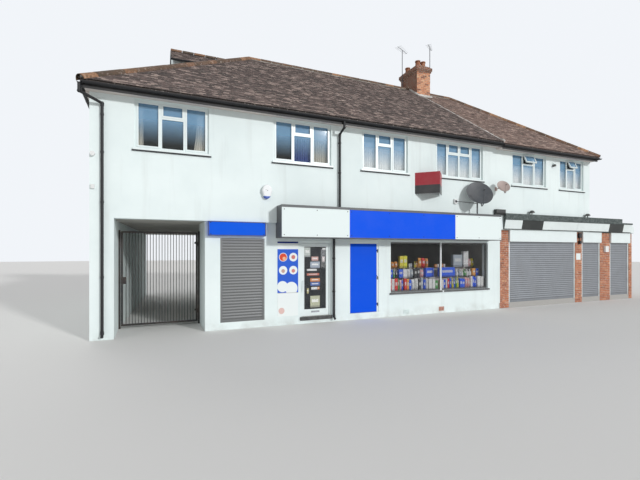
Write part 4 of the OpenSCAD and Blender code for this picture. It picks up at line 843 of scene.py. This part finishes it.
# %% Lay the piers and the single-storey walls
SHOP_FACE, SHUTTER_HEAD, STOREY, GROUND = -5.01, 2.5, 2.95, 0.008
END_X, SIDE_REAR, YARD_X = 12.31, 1.1, 9.2
PIER_TOP = GROUND + 33 * COURSE
RIGHTWARD, INWARD, LEFTWARD, STREETWARD = (1, 0, 0), (0, 1, 0), (-1, 0, 0), (0, -1, 0)
places = []
for x, wide in ((4.15, 0.45), (8.40, 0.43), (10.03, 0.69), (12.08, 0.23)):
    places += brick_face(x, SHOP_FACE, RIGHTWARD, wide, GROUND, SHUTTER_HEAD)
    places += brick_face(x + 0.015, SHOP_FACE, RIGHTWARD, wide - 0.03, PIER_TOP, STOREY - JOINT,
                         True)
brickwork("pier_bricks", places)
brickwork("end_wall_bricks", brick_face(END_X, SHOP_FACE, INWARD, 6.11, GROUND, STOREY, True,
                                        [(0, 0.28, SHUTTER_HEAD, 3)]))
brickwork("side_rear_wall_bricks", brick_face(END_X, SIDE_REAR, LEFTWARD, 3.11, GROUND, STOREY))
brickwork("yard_wall_bricks", brick_face(YARD_X, SIDE_REAR, INWARD, 3.72, GROUND, STOREY, True))

# %% [markdown]
# ### Chimney
# The stack widens near its top in three steps: one course stands out a little, two more stand out
# further, and the last course steps back. Each step gets its own four faces of bricks, and the
# underside of a step is the mortar of the CAD model.

# %% Lay the chimney
STACK_TOP = 10.969


def brick_box(out, low, high):
    """Bricks on the four faces of the stack, which stands out by some metres."""
    x0, x1, y0, y1 = STACK[0] - out, STACK[1] + out, STACK[2] - out, STACK[3] + out
    return (brick_face(x0, y0, RIGHTWARD, x1 - x0, low, high)
            + brick_face(x1, y0, INWARD, y1 - y0, low, high, True)
            + brick_face(x1, y1, LEFTWARD, x1 - x0, low, high)
            + brick_face(x0, y1, STREETWARD, y1 - y0, low, high, True))


soot_line = STACK_TOP - 4 * COURSE
chimney = brick_box(0, STACK_TOP - 20 * COURSE, soot_line)
for out, first, last in ((0.038, 4, 3), (0.076, 3, 1), (0.0, 1, 0)):
    chimney += brick_box(out, STACK_TOP - first * COURSE + 0.005, STACK_TOP - last * COURSE + 0.005)
# The bricks of the head are black with soot, and those of the left face get painted shade, as that
# face looks away from the light.
brickwork("chimney_bricks", chimney, chimney_bricks,
          lambda spot: spot[0][2] < -0.5 or spot.translation.z > soot_line - 0.02)
bpy.data.objects.remove(brick)

# %% [markdown]
# ## Small parts, and the mortar on the roof
# The small parts further down all start the same way: a cube at its size and place, its edges eased
# by a bevel, because no sawn, moulded or trowelled edge is truly sharp. Parts of one material that
# belong together are joined into one piece. On the roof the step between the two houses is filled
# with a rough bead of mortar, and more of it seals the foot of the chimney. A bead is a long cube
# cut into short lengths, whose corners are then moved a little at random.

# %% Helpers for small parts
def plate(low, high, edge=0.003, segments=1):
    """A block between two corners with its edges eased."""
    low, high = Vector(low), Vector(high)
    start_block("plate", high - low, (low + high) / 2)
    bevel(edge, segments)
    return leave_edit()


def rod(start, end, radius):
    """A round bar between two points, its ends eased."""
    start, end = Vector(start), Vector(end)
    run = end - start
    start_mesh("rod", "cylinder", vertices=12, radius=radius, depth=run.length)
    pick("faces", lambda at, f: abs(abs(at.z) - run.length / 2) < 1e-5)
    bevel(radius * 0.3)
    made = leave_edit()
    turn = run.to_track_quat("Z", "Y").to_matrix().to_4x4()
    made.data.transform(Matrix.Translation((start + end) / 2) @ turn)
    return made


def join(name, parts):
    """Several parts made one piece."""
    bpy.ops.object.select_all(action="DESELECT")
    for part in parts:
        part.select_set(True)
    bpy.context.view_layer.objects.active = parts[0]
    bpy.ops.object.join()
    parts[0].name = parts[0].data.name = name
    return parts[0]


def mortar_bead(start, end, wide, high, lengths, seed, ridge=RIDGE_Z):
    """A rough bead of mortar along a line; each end is X, Y and its height over the slope."""
    start, end = (Vector((x, y, ridge - abs(y) * PITCH + lift)) for x, y, lift in (start, end))
    run = end - start
    start_block("bead", (run.length, wide, high))
    pick("edges", lambda at, e: abs(at.x) < 0.001)
    bpy.ops.mesh.subdivide(number_cuts=lengths)
    bpy.ops.mesh.select_all(action="SELECT")
    bpy.ops.transform.vertex_random(offset=high * 0.28, seed=seed)
    made = leave_edit()
    upright = Matrix.Rotation(-QUARTER, 4, "X")
    made.data.transform(axes(run, (0, 0, 1), (start + end) / 2) @ upright)
    return made


print("helpers for small parts ready")

# %% Mortar along the party line and round the chimney
STEP_X = 3.885
x0, x1 = STACK[:2]
beads = []
for side, seed in ((-1, 3), (1, 4)):
    beads += [
        mortar_bead((STEP_X, side * 0.68, 0.04), (STEP_X, side * 5.42, 0.04),
                    0.075, 0.055, 40, seed),
        mortar_bead((x0 - 0.02, side * 0.66, 0.04), (x0 - 0.02, 0, 0.05), 0.07, 0.1, 10, seed + 10,
                    RIDGE_Z + STEP),
        mortar_bead((x1 + 0.02, side * 0.66, 0.04), (x1 + 0.02, 0, 0.05), 0.07, 0.1, 10, seed + 20),
        mortar_bead((x0 - 0.04, side * 0.69, 0.05), (x1 + 0.04, side * 0.69, 0.05),
                    0.13, 0.09, 10, seed + 30),
        mortar_bead((STEP_X, side * 5.3, 0.06), (STEP_X, side * 5.42, 0.07),
                    0.13, 0.08, 3, seed + 40)]
beads.append(mortar_bead((3.78, -0.7, 0.035), (3.98, -1.15, 0.035), 0.3, 0.03, 6, 9))
settle(join("roof_mortar_beads", beads), white_mortar, "concrete")
print("mortar beads:", len(beads))

# %% [markdown]
# ### Gutter brackets
# The black gutter hangs in brackets, one about every 900 mm. Each is a half hoop of plastic: a
# short cylinder without its ends, cut through its middle and given a thickness.

# %% Gutter brackets
bracket = half_hoop("pattern_bracket", 16, 0.061, 0.024, (0, QUARTER, 0),
                    lambda at, f: abs(at.x) > 0.011, 0.002, 0.004)
LEFT_GUTTER_Z, RIGHT_GUTTER_Z, GUTTER_Y, BRACKET_GAP = 6.04, 5.99, 5.466, 0.9
places = []
for side in (-1, 1):
    for x in np.arange(-9.0, 9.2, BRACKET_GAP):
        z = LEFT_GUTTER_Z if x < PARTY else RIGHT_GUTTER_Z
        places.append(Matrix.Translation((x, side * GUTTER_Y, z)))
for y in np.arange(-5.0, 5.2, BRACKET_GAP):
    for x, z in ((-9.356, LEFT_GUTTER_Z), (9.276, RIGHT_GUTTER_Z)):
        places.append(Matrix.Translation((x, y, z)) @ Matrix.Rotation(QUARTER, 4, "Z"))
settle(lay("gutter_brackets", bracket, places), black_plastic, "black_plastic")
bpy.data.objects.remove(bracket)
print("gutter brackets:", len(places))

# %% [markdown]
# ## Curtains
# Behind the upstairs panes hang net curtains, and in two of the windows a pair of heavier ones. A
# curtain is a single sheet that is wider than its window, gathered on a wire or rail, so it falls
# in folds. It starts as a flat grid, and every row of its points is moved in and out as a wave. The
# folds are small and even at the top, where the wire holds them, and a little deeper and looser
# below. The measured area of the folded sheet gives the width of cloth that it was sewn from.

# %% Cloth
def cloth(name, colour, shade, alpha, threads):
    """Woven cloth: fine threads both ways along the sheet's own UV map, a little shade in folds."""
    material, tree, shader = new_finish(name, roughness=0.95, specular=0.1)
    shader.inputs["Sheen Weight"].default_value = 0.2
    shader.inputs["Alpha"].default_value = alpha
    sheet_place = add(tree, "TexCoord").outputs["UV"]
    warp, weft = (add(tree, "TexWave", [("Vector", sheet_place), ("Scale", threads)],
                      bands_direction=way).outputs["Fac"] for way in "XY")
    weave = maths(tree, "MULTIPLY", warp, weft)
    wide = spread(tree, noise(tree, 0.3, place(tree, (1, 1, 0.3))), 0.35, 0.7)
    colour = blend(tree, maths(tree, "MULTIPLY", wide, weave), colour, shade)
    return finish(material, tree, shader, colour, weave, 0.0006, 0.4)


net_cloth = cloth("net_curtain_cloth", (0.96, 0.96, 0.94), (0.8, 0.8, 0.8), 0.93, 180)
cream_cloth = cloth("cream_curtain_cloth", (0.8, 0.78, 0.7), (0.56, 0.53, 0.46), 1.0, 120)
blue_cloth = cloth("blue_curtain_cloth", (0.06, 0.12, 0.42), (0.03, 0.06, 0.25), 1.0, 120)
print("cloths:", net_cloth.name, cream_cloth.name, blue_cloth.name)


# %% Rails and curtains
CURTAIN_Y = -4.93


def hang(name, x0, x1, top, bottom, fold, depth, material, swing=0.0):
    """A gathered curtain, folds about fold wide and depth deep; swing draws its foot aside."""
    count = max(3, round((x1 - x0) / fold))
    start_mesh(name, "grid", x_subdivisions=count * 8, y_subdivisions=14, size=1,
               rotation=(QUARTER, 0, 0))
    sheet = leave_edit()
    phase = chance.uniform(0, 6.28)
    for point in sheet.data.vertices:
        across, down = point.co.x + 0.5, 0.5 - point.co.z
        wave = math.sin(count * math.tau * across) * (0.7 + 0.3 * down)
        loose = 0.25 * math.sin(count * 2.1 * across + phase + 1.5 * down) * down
        x = x0 + (x1 - x0) * across + swing * down * down * (1 - across)
        point.co = (x, CURTAIN_Y + depth * (wave + loose), top + (bottom - top) * down)
    settle(sheet, material, "white_plastic")
    surface = sum(face.area for face in sheet.data.polygons)
    drop = top - bottom
    print(name, "sewn from", round(surface / drop, 3), "by", round(drop, 3), "m")


CURTAIN_TOP, CURTAIN_FOOT = 5.86, 4.73
windows = {"w1": (-8.22, -6.45, CURTAIN_TOP), "w2": (-4.65, -2.87, CURTAIN_TOP),
           "w3": (-1.79, -0.08, 5.62), "w4": (1.09, 3.2, 5.62), "w5": (4.68, 6.52, 5.42),
           "w6": (7.34, 8.79, 5.42)}
rails = [rod((x0, CURTAIN_Y, top), (x1, CURTAIN_Y, top), 0.006) for x0, x1, top in windows.values()]
settle(join("curtain_rails", rails), white_plastic, "white_plastic")
for name, foot in (("w3", 4.73), ("w4", 4.73), ("w5", 4.68), ("w6", 4.68)):
    x0, x1, top = windows[name]
    hang("net_" + name, x0 + 0.02, x1 - 0.02, top, foot, 0.085, 0.014, net_cloth)
for name, x0, x1, fold, depth, material, swing in (
        ("curtain_w1_left", -8.2, -8.03, 0.05, 0.02, cream_cloth, 0.0),
        ("curtain_w1_right", -6.72, -6.47, 0.05, 0.02, cream_cloth, -0.1),
        ("curtain_w2_right", -3.4, -2.93, 0.07, 0.022, cream_cloth, 0.0),
        ("curtain_w2_middle", -4.05, -3.47, 0.07, 0.022, blue_cloth, 0.0)):
    hang(name, x0, x1, CURTAIN_TOP, CURTAIN_FOOT, fold, depth, material, swing)

# %% [markdown]
# ## The shop window
# A deep shop window is dressed on steps, so that every row of goods shows over the one before it.
# The stand is one long block whose top is cut into three strips; the two at the back are then drawn
# up. The goods are four plain patterns, a carton, a bottle, a bag and a tin, copied along the steps
# with sizes and colours of their own. They carry no print but a pale band and a painted shade along
# their foot: each copy keeps its pattern's own coordinates as an attribute, and the material draws
# both from them.

# %% Display stand
def draw_out(way):
    """Extrudes the picked faces by a distance, in edit mode."""
    bpy.ops.mesh.extrude_region_move(TRANSFORM_OT_translate={"value": way})


STEP_TWO, STEP_THREE = -4.48, -4.28
start_block("display_stand", (4.07, 0.6, 0.6), (1.435, -4.4, 0.5))
for y in (STEP_TWO, STEP_THREE):
    score((0, y, 0), (0, 1, 0))
pick("faces", lambda at, f: at.z > 0.79 and at.y > STEP_TWO)
draw_out((0, 0, 0.42))
pick("faces", lambda at, f: at.z > 1.21 and at.y > STEP_THREE and f.normal.z > 0.9)
draw_out((0, 0, 0.33))
stand = leave_edit()
window_board = plate((-0.67, -4.885, 0.78), (3.54, -4.7, 0.802))
settle(join("display_stand", [stand, window_board]), stand_board, "white_plastic")
print("display stand", [round(v, 2) for v in stand.dimensions])

# %% Patterns of the goods
patterns = {}
start_block("carton", (1, 1, 1), (0, 0, 0.5))
bevel(0.02)
patterns["carton"] = leave_edit()

start_mesh("bottle", "cylinder", vertices=10, radius=0.5, depth=0.62, location=(0, 0, 0.31))
pick("faces", lambda at, f: f.normal.z > 0.9)
for up, wide in ((0.16, 0.36), (0.13, 1.0), (0.0, 1.25), (0.09, 1.0)):
    draw_out((0, 0, up))
    bpy.ops.transform.resize(value=(wide, wide, 1))
patterns["bottle"] = leave_edit()

start_block("bag", (1, 1, 1), (0, 0, 0.5))
bpy.ops.mesh.subdivide(number_cuts=2)
pick("verts", lambda at, v: abs(at.z - 0.5) > 0.49)
bpy.ops.transform.resize(value=(1, 0.12, 1), center_override=(0, 0, 0.5))
pick("verts", lambda at, v: abs(at.x) > 0.49)
bpy.ops.transform.resize(value=(0.92, 0.5, 1), center_override=(0, 0, 0.5))
patterns["bag"] = leave_edit()

start_mesh("tin", "cylinder", vertices=14, radius=0.5, depth=1, location=(0, 0, 0.5))
pick("faces", lambda at, f: abs(f.normal.z) > 0.9)
bpy.ops.mesh.inset(thickness=0.05)
bpy.ops.transform.resize(value=(1, 1, 0.94), center_override=(0, 0, 0.5))
patterns["tin"] = leave_edit()
print("patterns:", {name: len(piece.data.polygons) for name, piece in patterns.items()})


# %% Printed finish and its two attributes
def print_on(piece, colours, pattern):
    """Stores a colour on each copy, and the pattern's own coordinates on each point."""
    low = np.array([v.co for v in pattern.data.vertices])
    local = (low - low.min(0)) / np.maximum(low.max(0) - low.min(0), 1e-6)
    colours = np.c_[np.array(colours), np.ones(len(colours))]
    tint = piece.data.attributes.new("print", "FLOAT_COLOR", "POINT")
    tint.data.foreach_set("color", np.repeat(colours, len(low), axis=0).ravel())
    spot = piece.data.attributes.new("spot", "FLOAT_VECTOR", "POINT")
    spot.data.foreach_set("vector", np.tile(local, (len(colours), 1)).ravel())
    return piece


def near(tree, value, middle, reach):
    """Gives 1 where a value is within reach of a middle, else 0."""
    made = maths(tree, "COMPARE", value, middle)
    made.node.inputs[2].default_value = reach
    return made


printed, tree, shader = new_finish("printed_packaging", roughness=0.35)
ink = add(tree, "Attribute", attribute_name="print").outputs["Color"]
spot = add(tree, "Attribute", attribute_name="spot").outputs["Vector"]
spot = add(tree, "SeparateXYZ", [(0, spot)]).outputs
band = maths(tree, "MULTIPLY", near(tree, spot["Z"], 0.58, 0.13), near(tree, spot["X"], 0.5, 0.34))
colour = blend(tree, maths(tree, "MULTIPLY", band, 0.75), ink, (0.85, 0.86, 0.84))
# Painted shade: the foot of each copy is drawn darker, as if shaded by the row in front.
foot = maths(tree, "MULTIPLY", maths(tree, "LESS_THAN", spot["Z"], 0.16), 0.45)
colour = stain(tree, blend(tree, foot, colour, (0.05, 0.05, 0.08)), (0.12, 0.11, 0.13),
               0.03, 0.55, 0.6, 0.35, detail=3)
finish(printed, tree, shader, colour, noise(tree, 0.05), 0.002, 0.4)
print("packaging finish:", printed.name)

# %% [markdown]
# ### Rows of goods
# Each step has its rows, from left to right: the pattern, where the row starts and ends along the
# window, how tall it is, and one letter for the colour of each copy in it.

# %% Dress the window
INKS = {"R": (0.85, 0.06, 0.05), "O": (0.92, 0.36, 0.08), "Y": (0.92, 0.78, 0.05),
        "G": (0.1, 0.36, 0.1), "B": (0.02, 0.12, 0.85), "W": (0.85, 0.86, 0.85),
        "P": (0.85, 0.45, 0.45), "K": (0.03, 0.03, 0.035), "E": (0.4, 0.45, 0.5),
        "L": (0.55, 0.75, 0.1)}
steps = {
    (-4.8, 0.802): [
        ("carton", -0.66, -0.3, 0.45, "RWR"), ("bottle", -0.29, -0.2, 0.42, "G"),
        ("bag", -0.19, -0.05, 0.36, "PB"), ("carton", -0.03, 0.25, 0.4, "ROB"),
        ("bag", 0.27, 0.55, 0.42, "WW"), ("carton", 0.57, 0.75, 0.41, "KE"),
        ("tin", 0.77, 0.96, 0.38, "BW"), ("carton", 0.98, 1.38, 0.35, "WWG"),
        ("carton", 1.48, 1.72, 0.36, "OWB"), ("tin", 1.74, 2.0, 0.38, "WRB"),
        ("bottle", 2.02, 2.34, 0.4, "YBGY"), ("carton", 2.36, 2.6, 0.37, "BB"),
        ("bag", 2.62, 2.86, 0.39, "PP"), ("carton", 2.88, 3.14, 0.4, "WBB"),
        ("carton", 3.17, 3.5, 0.4, "WW")],
    (-4.59, 1.22): [
        ("carton", -0.6, -0.35, 0.31, "B"), ("bottle", -0.34, -0.14, 0.28, "GK"),
        ("carton", -0.12, 0.22, 0.31, "BW"), ("bag", 0.24, 0.5, 0.3, "WE"),
        ("carton", 0.52, 0.76, 0.33, "KK"), ("bag", 0.78, 0.95, 0.3, "P"),
        ("carton", 0.97, 1.38, 0.32, "B"), ("carton", 1.6, 2.36, 0.32, "B"),
        ("bottle", 2.38, 3.12, 0.27, "WEWGWW"), ("carton", 3.16, 3.46, 0.3, "OB")],
    (-4.38, 1.55): [
        ("bag", -0.58, -0.36, 0.26, "LP"), ("bag", -0.28, 0.0, 0.22, "OO"),
        ("carton", 0.06, 0.38, 0.44, "YY"), ("tin", 0.46, 0.62, 0.16, "WE"),
        ("bottle", 0.72, 0.84, 0.24, "YO"), ("bag", 0.86, 1.32, 0.36, "ORO"),
        ("tin", 1.6, 2.1, 0.12, "OWKOW"), ("carton", 2.42, 2.88, 0.48, "E"),
        ("carton", 2.9, 3.16, 0.58, "W"), ("bag", 3.18, 3.44, 0.32, "PY")],
}
placed = {kind: ([], []) for kind in patterns}
for (y, base), rows in steps.items():
    for kind, x0, x1, tall, letters in rows:
        wide = (x1 - x0) / len(letters)
        for i, letter in enumerate(letters):
            height = tall * chance.uniform(0.9, 1.06)
            size = Matrix.Diagonal((wide * 0.9, min(wide, 0.13), height, 1))
            x = x0 + (i + 0.5) * wide
            at = Matrix.Translation((x, y + chance.uniform(-0.01, 0.01), base + 0.001))
            placed[kind][0].append(at @ Matrix.Rotation(chance.normal(0, 0.06), 4, "Z") @ size)
            ink = np.array(INKS[letter]) * chance.uniform(1.0, 1.25)
            placed[kind][1].append(np.clip(ink, 0, 0.95))
for kind, (places, colours) in placed.items():
    goods = lay("goods_" + kind + "s", patterns[kind], places)
    settle(print_on(goods, colours, patterns[kind]), printed, "white_plastic")
    print(goods.name, "copies:", len(places))
    bpy.data.objects.remove(patterns[kind])

# %% [markdown]
# ## Doors and notices
# The glass of the shop door is covered in small notices. They are thin sheets of card, left without
# any writing, and they ride on the door's body. The blue side door
# stays a plain panel.

# %% Notices on the door glass
GLASS_FACE, INK_SHARE = -4.925, 0.75
notices = []
for x0, x1, z0, z1, colour in (
        (-3.66, -3.47, 1.97, 2.255, (0.62, 0.68, 0.64)), (-3.08, -2.97, 2.18, 2.244, INKS["W"]),
        (-3.43, -3.21, 1.85, 1.98, (0.8, 0.5, 0.45)),
        (-3.47, -3.16, 1.63, 1.83, (0.45, 0.52, 0.62)),
        (-3.08, -3.0, 1.82, 1.98, (0.85, 0.75, 0.75)), (-3.58, -3.26, 1.55, 1.61, INKS["W"]),
        (-3.58, -3.18, 1.41, 1.48, (0.65, 0.2, 0.14)),
        (-3.47, -3.16, 1.22, 1.33, (0.75, 0.3, 0.12)),
        (-3.47, -3.16, 1.1, 1.21, (0.1, 0.18, 0.5)), (-3.44, -3.24, 0.985, 1.065, INKS["W"]),
        (-3.235, -3.17, 0.985, 1.065, INKS["O"]), (-3.58, -3.52, 0.87, 1.03, (0.6, 0.55, 0.25)),
        (-3.47, -3.16, 0.45, 0.8, (0.62, 0.64, 0.45))):
    card = plate((x0, GLASS_FACE - 0.0018, z0), (x1, GLASS_FACE + 0.0002, z1), 0.0006)
    notices.append(print_on(card, [[part * INK_SHARE for part in colour]], card))
settle(join("shop_door_notices", notices), printed, "white_plastic", "shop_door_leaf")
print("notices on the shop door:", len(notices))

# %% [markdown]
# ## Signs
# The sign boxes are held by their trims and by small black screw caps near the corners of the
# panels. Along the right-hand shop runs a band whose face leans out at the top. In the photograph it
# carries long white boards and two black ones, so boards are laid on the leaning face here, each a
# plate that is turned to the band's slope. A black strip along the foot of the band is a painted
# shadow line. A plain white board closes the end of the flat roof.

# %% Screw caps and sign trims
start_mesh("screw_cap", "cylinder", vertices=10, radius=0.013, depth=0.008,
           rotation=(QUARTER, 0, 0))
pick("faces", front_faces)
inset(0.004, -0.003)
screw_cap = leave_edit()
PANEL_FACE, KIOSK_FACE = -5.582, -5.163
screws = [(x, PANEL_FACE, z)
          for x in (-4.5, -3.52, -2.55, -2.42, -1.1, 0.2, 1.44, 1.57, 2.54, 3.52)
          for z in (2.6, 3.3)]
screws += [(x, KIOSK_FACE, z) for x in (-6.4, -4.96) for z in (2.6, 2.91)]
settle(lay("sign_screw_caps", screw_cap, [Matrix.Translation(spot) for spot in screws]),
       black_plastic, "black_plastic")
bpy.data.objects.remove(screw_cap)
trims = [plate((-6.46, -5.172, z), (-4.9, -5.158, z + 0.018), 0.002) for z in (2.562, 2.93)]
trims += [plate((x, -5.172, 2.562), (x + 0.018, -5.158, 2.948), 0.002) for x in (-6.46, -4.918)]
settle(join("kiosk_sign_trim", trims), grey_trim, "grey_frame")
seams = [plate((x - 0.006, -5.584, 2.544), (x + 0.006, -5.578, 3.358), 0.001)
         for x in (-2.488, 1.502)]
settle(join("sign_seams", seams), white_plastic, "white_plastic")
print("screw caps:", len(screws))

# %% Boards on the leaning band
BAND_FOOT, BAND_HEAD = Vector((0, -5.13, 2.965)), Vector((0, -5.2, 3.32))
band = BAND_HEAD - BAND_FOOT


def band_board(x0, x1, low, high, thick):
    """A board on the leaning face, from one share of its height to another."""
    start_block("board", (x1 - x0, band.length * (high - low), thick))
    bevel(0.002)
    made = leave_edit()
    middle = BAND_FOOT.lerp(BAND_HEAD, (low + high) / 2) + Vector(((x0 + x1) / 2, 0, 0))
    out = Vector((1, 0, 0)).cross(band.normalized())
    made.data.transform(axes((1, 0, 0), band, middle + out * (thick / 2 - 0.001)))
    return made


boards = [band_board(x0, x1, 0.06, 0.98, 0.012)
          for x0, x1 in ((4.23, 5.12), (6.27, 8.3), (8.31, 10.4), (11.4, 11.99))]
boards.append(plate((11.995, -5.108, 2.955), (12.313, -5.099, 3.252), 0.002))
settle(join("band_boards_white", boards), white_board, "white_plastic")
boards = [band_board(x0, x1, 0.0, 0.99, 0.016) for x0, x1 in ((5.13, 6.26), (10.41, 11.39))]
# A black strip along the foot of the band: a painted shadow line.
boards.append(band_board(4.225, 11.995, 0.0, 0.05, 0.02))
settle(join("band_boards_black_and_shadow_strip", boards), black_board, "black_plastic")
print("band leans", round(math.degrees(math.atan2(-band.y, band.z)), 1), "degrees")

# %% [markdown]
# ## Fittings on the walls
# These are the small things that make a wall look used: the cover of the alarm, the arm over the
# camera, a lamp and a notice on a brick pier, air bricks in the plinth, hinge leaves and a letter
# plate. Each is shaped from one primitive in a few steps.

# %% Alarm cover
start_mesh("alarm_cover", "cylinder", vertices=32, radius=1, depth=1, rotation=(QUARTER, 0, 0))
bpy.ops.transform.resize(value=(0.15, 0.12, 0.2))
pick("verts", lambda at, v: at.z < -0.02)
bpy.ops.transform.resize(value=(0.86, 1, 1.0), center_override=(0, 0, 0))
pick("faces", front_faces)
bevel(0.035, 4)
cover = leave_edit()
cover.data.transform(Matrix.Translation((-4.87, -5.155, 3.81)))
for face in cover.data.polygons:
    face.use_smooth = abs(face.normal.y) < 0.98
alarm_paint = smooth_finish("alarm_cover_plastic", (0.84, 0.86, 0.87), (0.5, 0.5, 0.47), 0.15, 0.3,
                            other=[((0.05, 0.12, 0.5), between(("Z", 3.5, 3.68))),
                                   ((0.03, 0.03, 0.03), disc(-4.87, 3.84, 0.012)),
                                   ((0.03, 0.03, 0.03), disc(-4.91, 3.86, 0.008))])
settle(cover, alarm_paint, "white_plastic")
print("alarm cover", [round(v, 3) for v in cover.dimensions])

# %% Camera arm, pier lamp and notice
arm = [plate((6.9, -5.112, 5.56), (6.96, -5.098, 5.7)),
       rod((6.93, -5.1, 5.67), (6.93, -5.17, 5.6), 0.014)]
settle(join("camera_arm", arm), white_plastic, "white_plastic")
lamp = [plate((8.56, -5.1, 2.7), (8.72, -5.008, 2.9), 0.02, 2),
        rod((8.64, -5.05, 2.7), (8.64, -5.05, 2.56), 0.016),
        plate((8.59, -5.11, 2.44), (8.69, -5.008, 2.58), 0.015, 2)]
settle(join("pier_lamp", lamp), black_plastic, "black_plastic")
notice = plate((8.47, -5.018, 1.78), (8.75, -5.008, 2.05), 0.002)
settle(join("pier_notice", [notice]), white_board, "white_plastic")
print("camera arm parts:", len(arm), "lamp parts:", len(lamp))

# %% Air bricks, hinge leaves and the letter plate
AIR_W, AIR_H, AIR_Y = 0.215, 0.14, -5.014
for name, x, z, material in (("air_brick_white", -0.07, 0.13, wall_paint),
                             ("air_brick_red", 1.39, 0.15, terracotta)):
    start_block(name, (AIR_W, 0.016, AIR_H), (x, AIR_Y, z))
    for i in range(1, 7):
        score((x - AIR_W / 2 + AIR_W * i / 7, 0, 0), (1, 0, 0))
    for i in range(1, 4):
        score((0, 0, z - AIR_H / 2 + AIR_H * i / 4), (0, 0, 1))
    pick("faces", front_faces)
    inset(0.006, 0.011, use_individual=True)
    settle(leave_edit(), material, "brick")
leaves = [plate((-1.19, -5.012, z - 0.05), (-1.165, -4.989, z + 0.05), 0.002)
          for z in (0.44, 1.29, 2.15)]
settle(join("side_door_hinge_leaves", leaves), black_plastic, "black_plastic")
start_block("letter_plate", (0.26, 0.012, 0.05), (-3.315, -4.944, 0.33))
pick("faces", front_faces)
for border, push in ((0.01, 0.004), (0.003, -0.003)):
    inset(border, push)
settle(leave_edit(), galvanised, "grey_frame", "shop_door_leaf")
print("air bricks, letter plate and hinge leaves:", len(leaves))

# %% [markdown]
# ### Painted shade under the sills
# Under every window sill lies a thin dark line of shade. A dark strip paints it: a flat plate whose
# front edge is eased, a little wider than the sill and set back from its nose.

# %% Painted shade strips under the sills
def shade_strip_under_sill(x0, x1, z, side):
    """A strip of painted shade under a sill at a height, on the front with side -1 or at the rear
    with 1.
    """
    near_y, far_y = sorted((side * 5.095, side * 5.14))
    return plate((x0 - 0.02, near_y, z - 0.028), (x1 + 0.02, far_y, z - 0.001), 0.004)


GROUND_SILL = 1.055
sills = [(-8.27, -6.4, 4.663), (-4.7, -2.82, 4.663), (-1.84, -0.03, 4.663), (1.04, 3.25, 4.663),
         (4.63, 6.57, 4.613), (7.29, 8.84, 4.613)]
courses = [shade_strip_under_sill(*sill, side) for sill in sills for side in (-1, 1)]
courses += [shade_strip_under_sill(x0, x1, GROUND_SILL, 1) for x0, x1, z in sills[1:]]
settle(join("painted_sill_shade_strips", courses), slate, "concrete")
print("tile courses:", len(courses))

# %% Measure the size
new_low, new_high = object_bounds()
sizes = {"cad_low": list(cad_low), "cad_high": list(cad_high),
         "visual_low": list(new_low), "visual_high": list(new_high)}
print({key: [round(v, 3) for v in value] for key, value in sizes.items()})
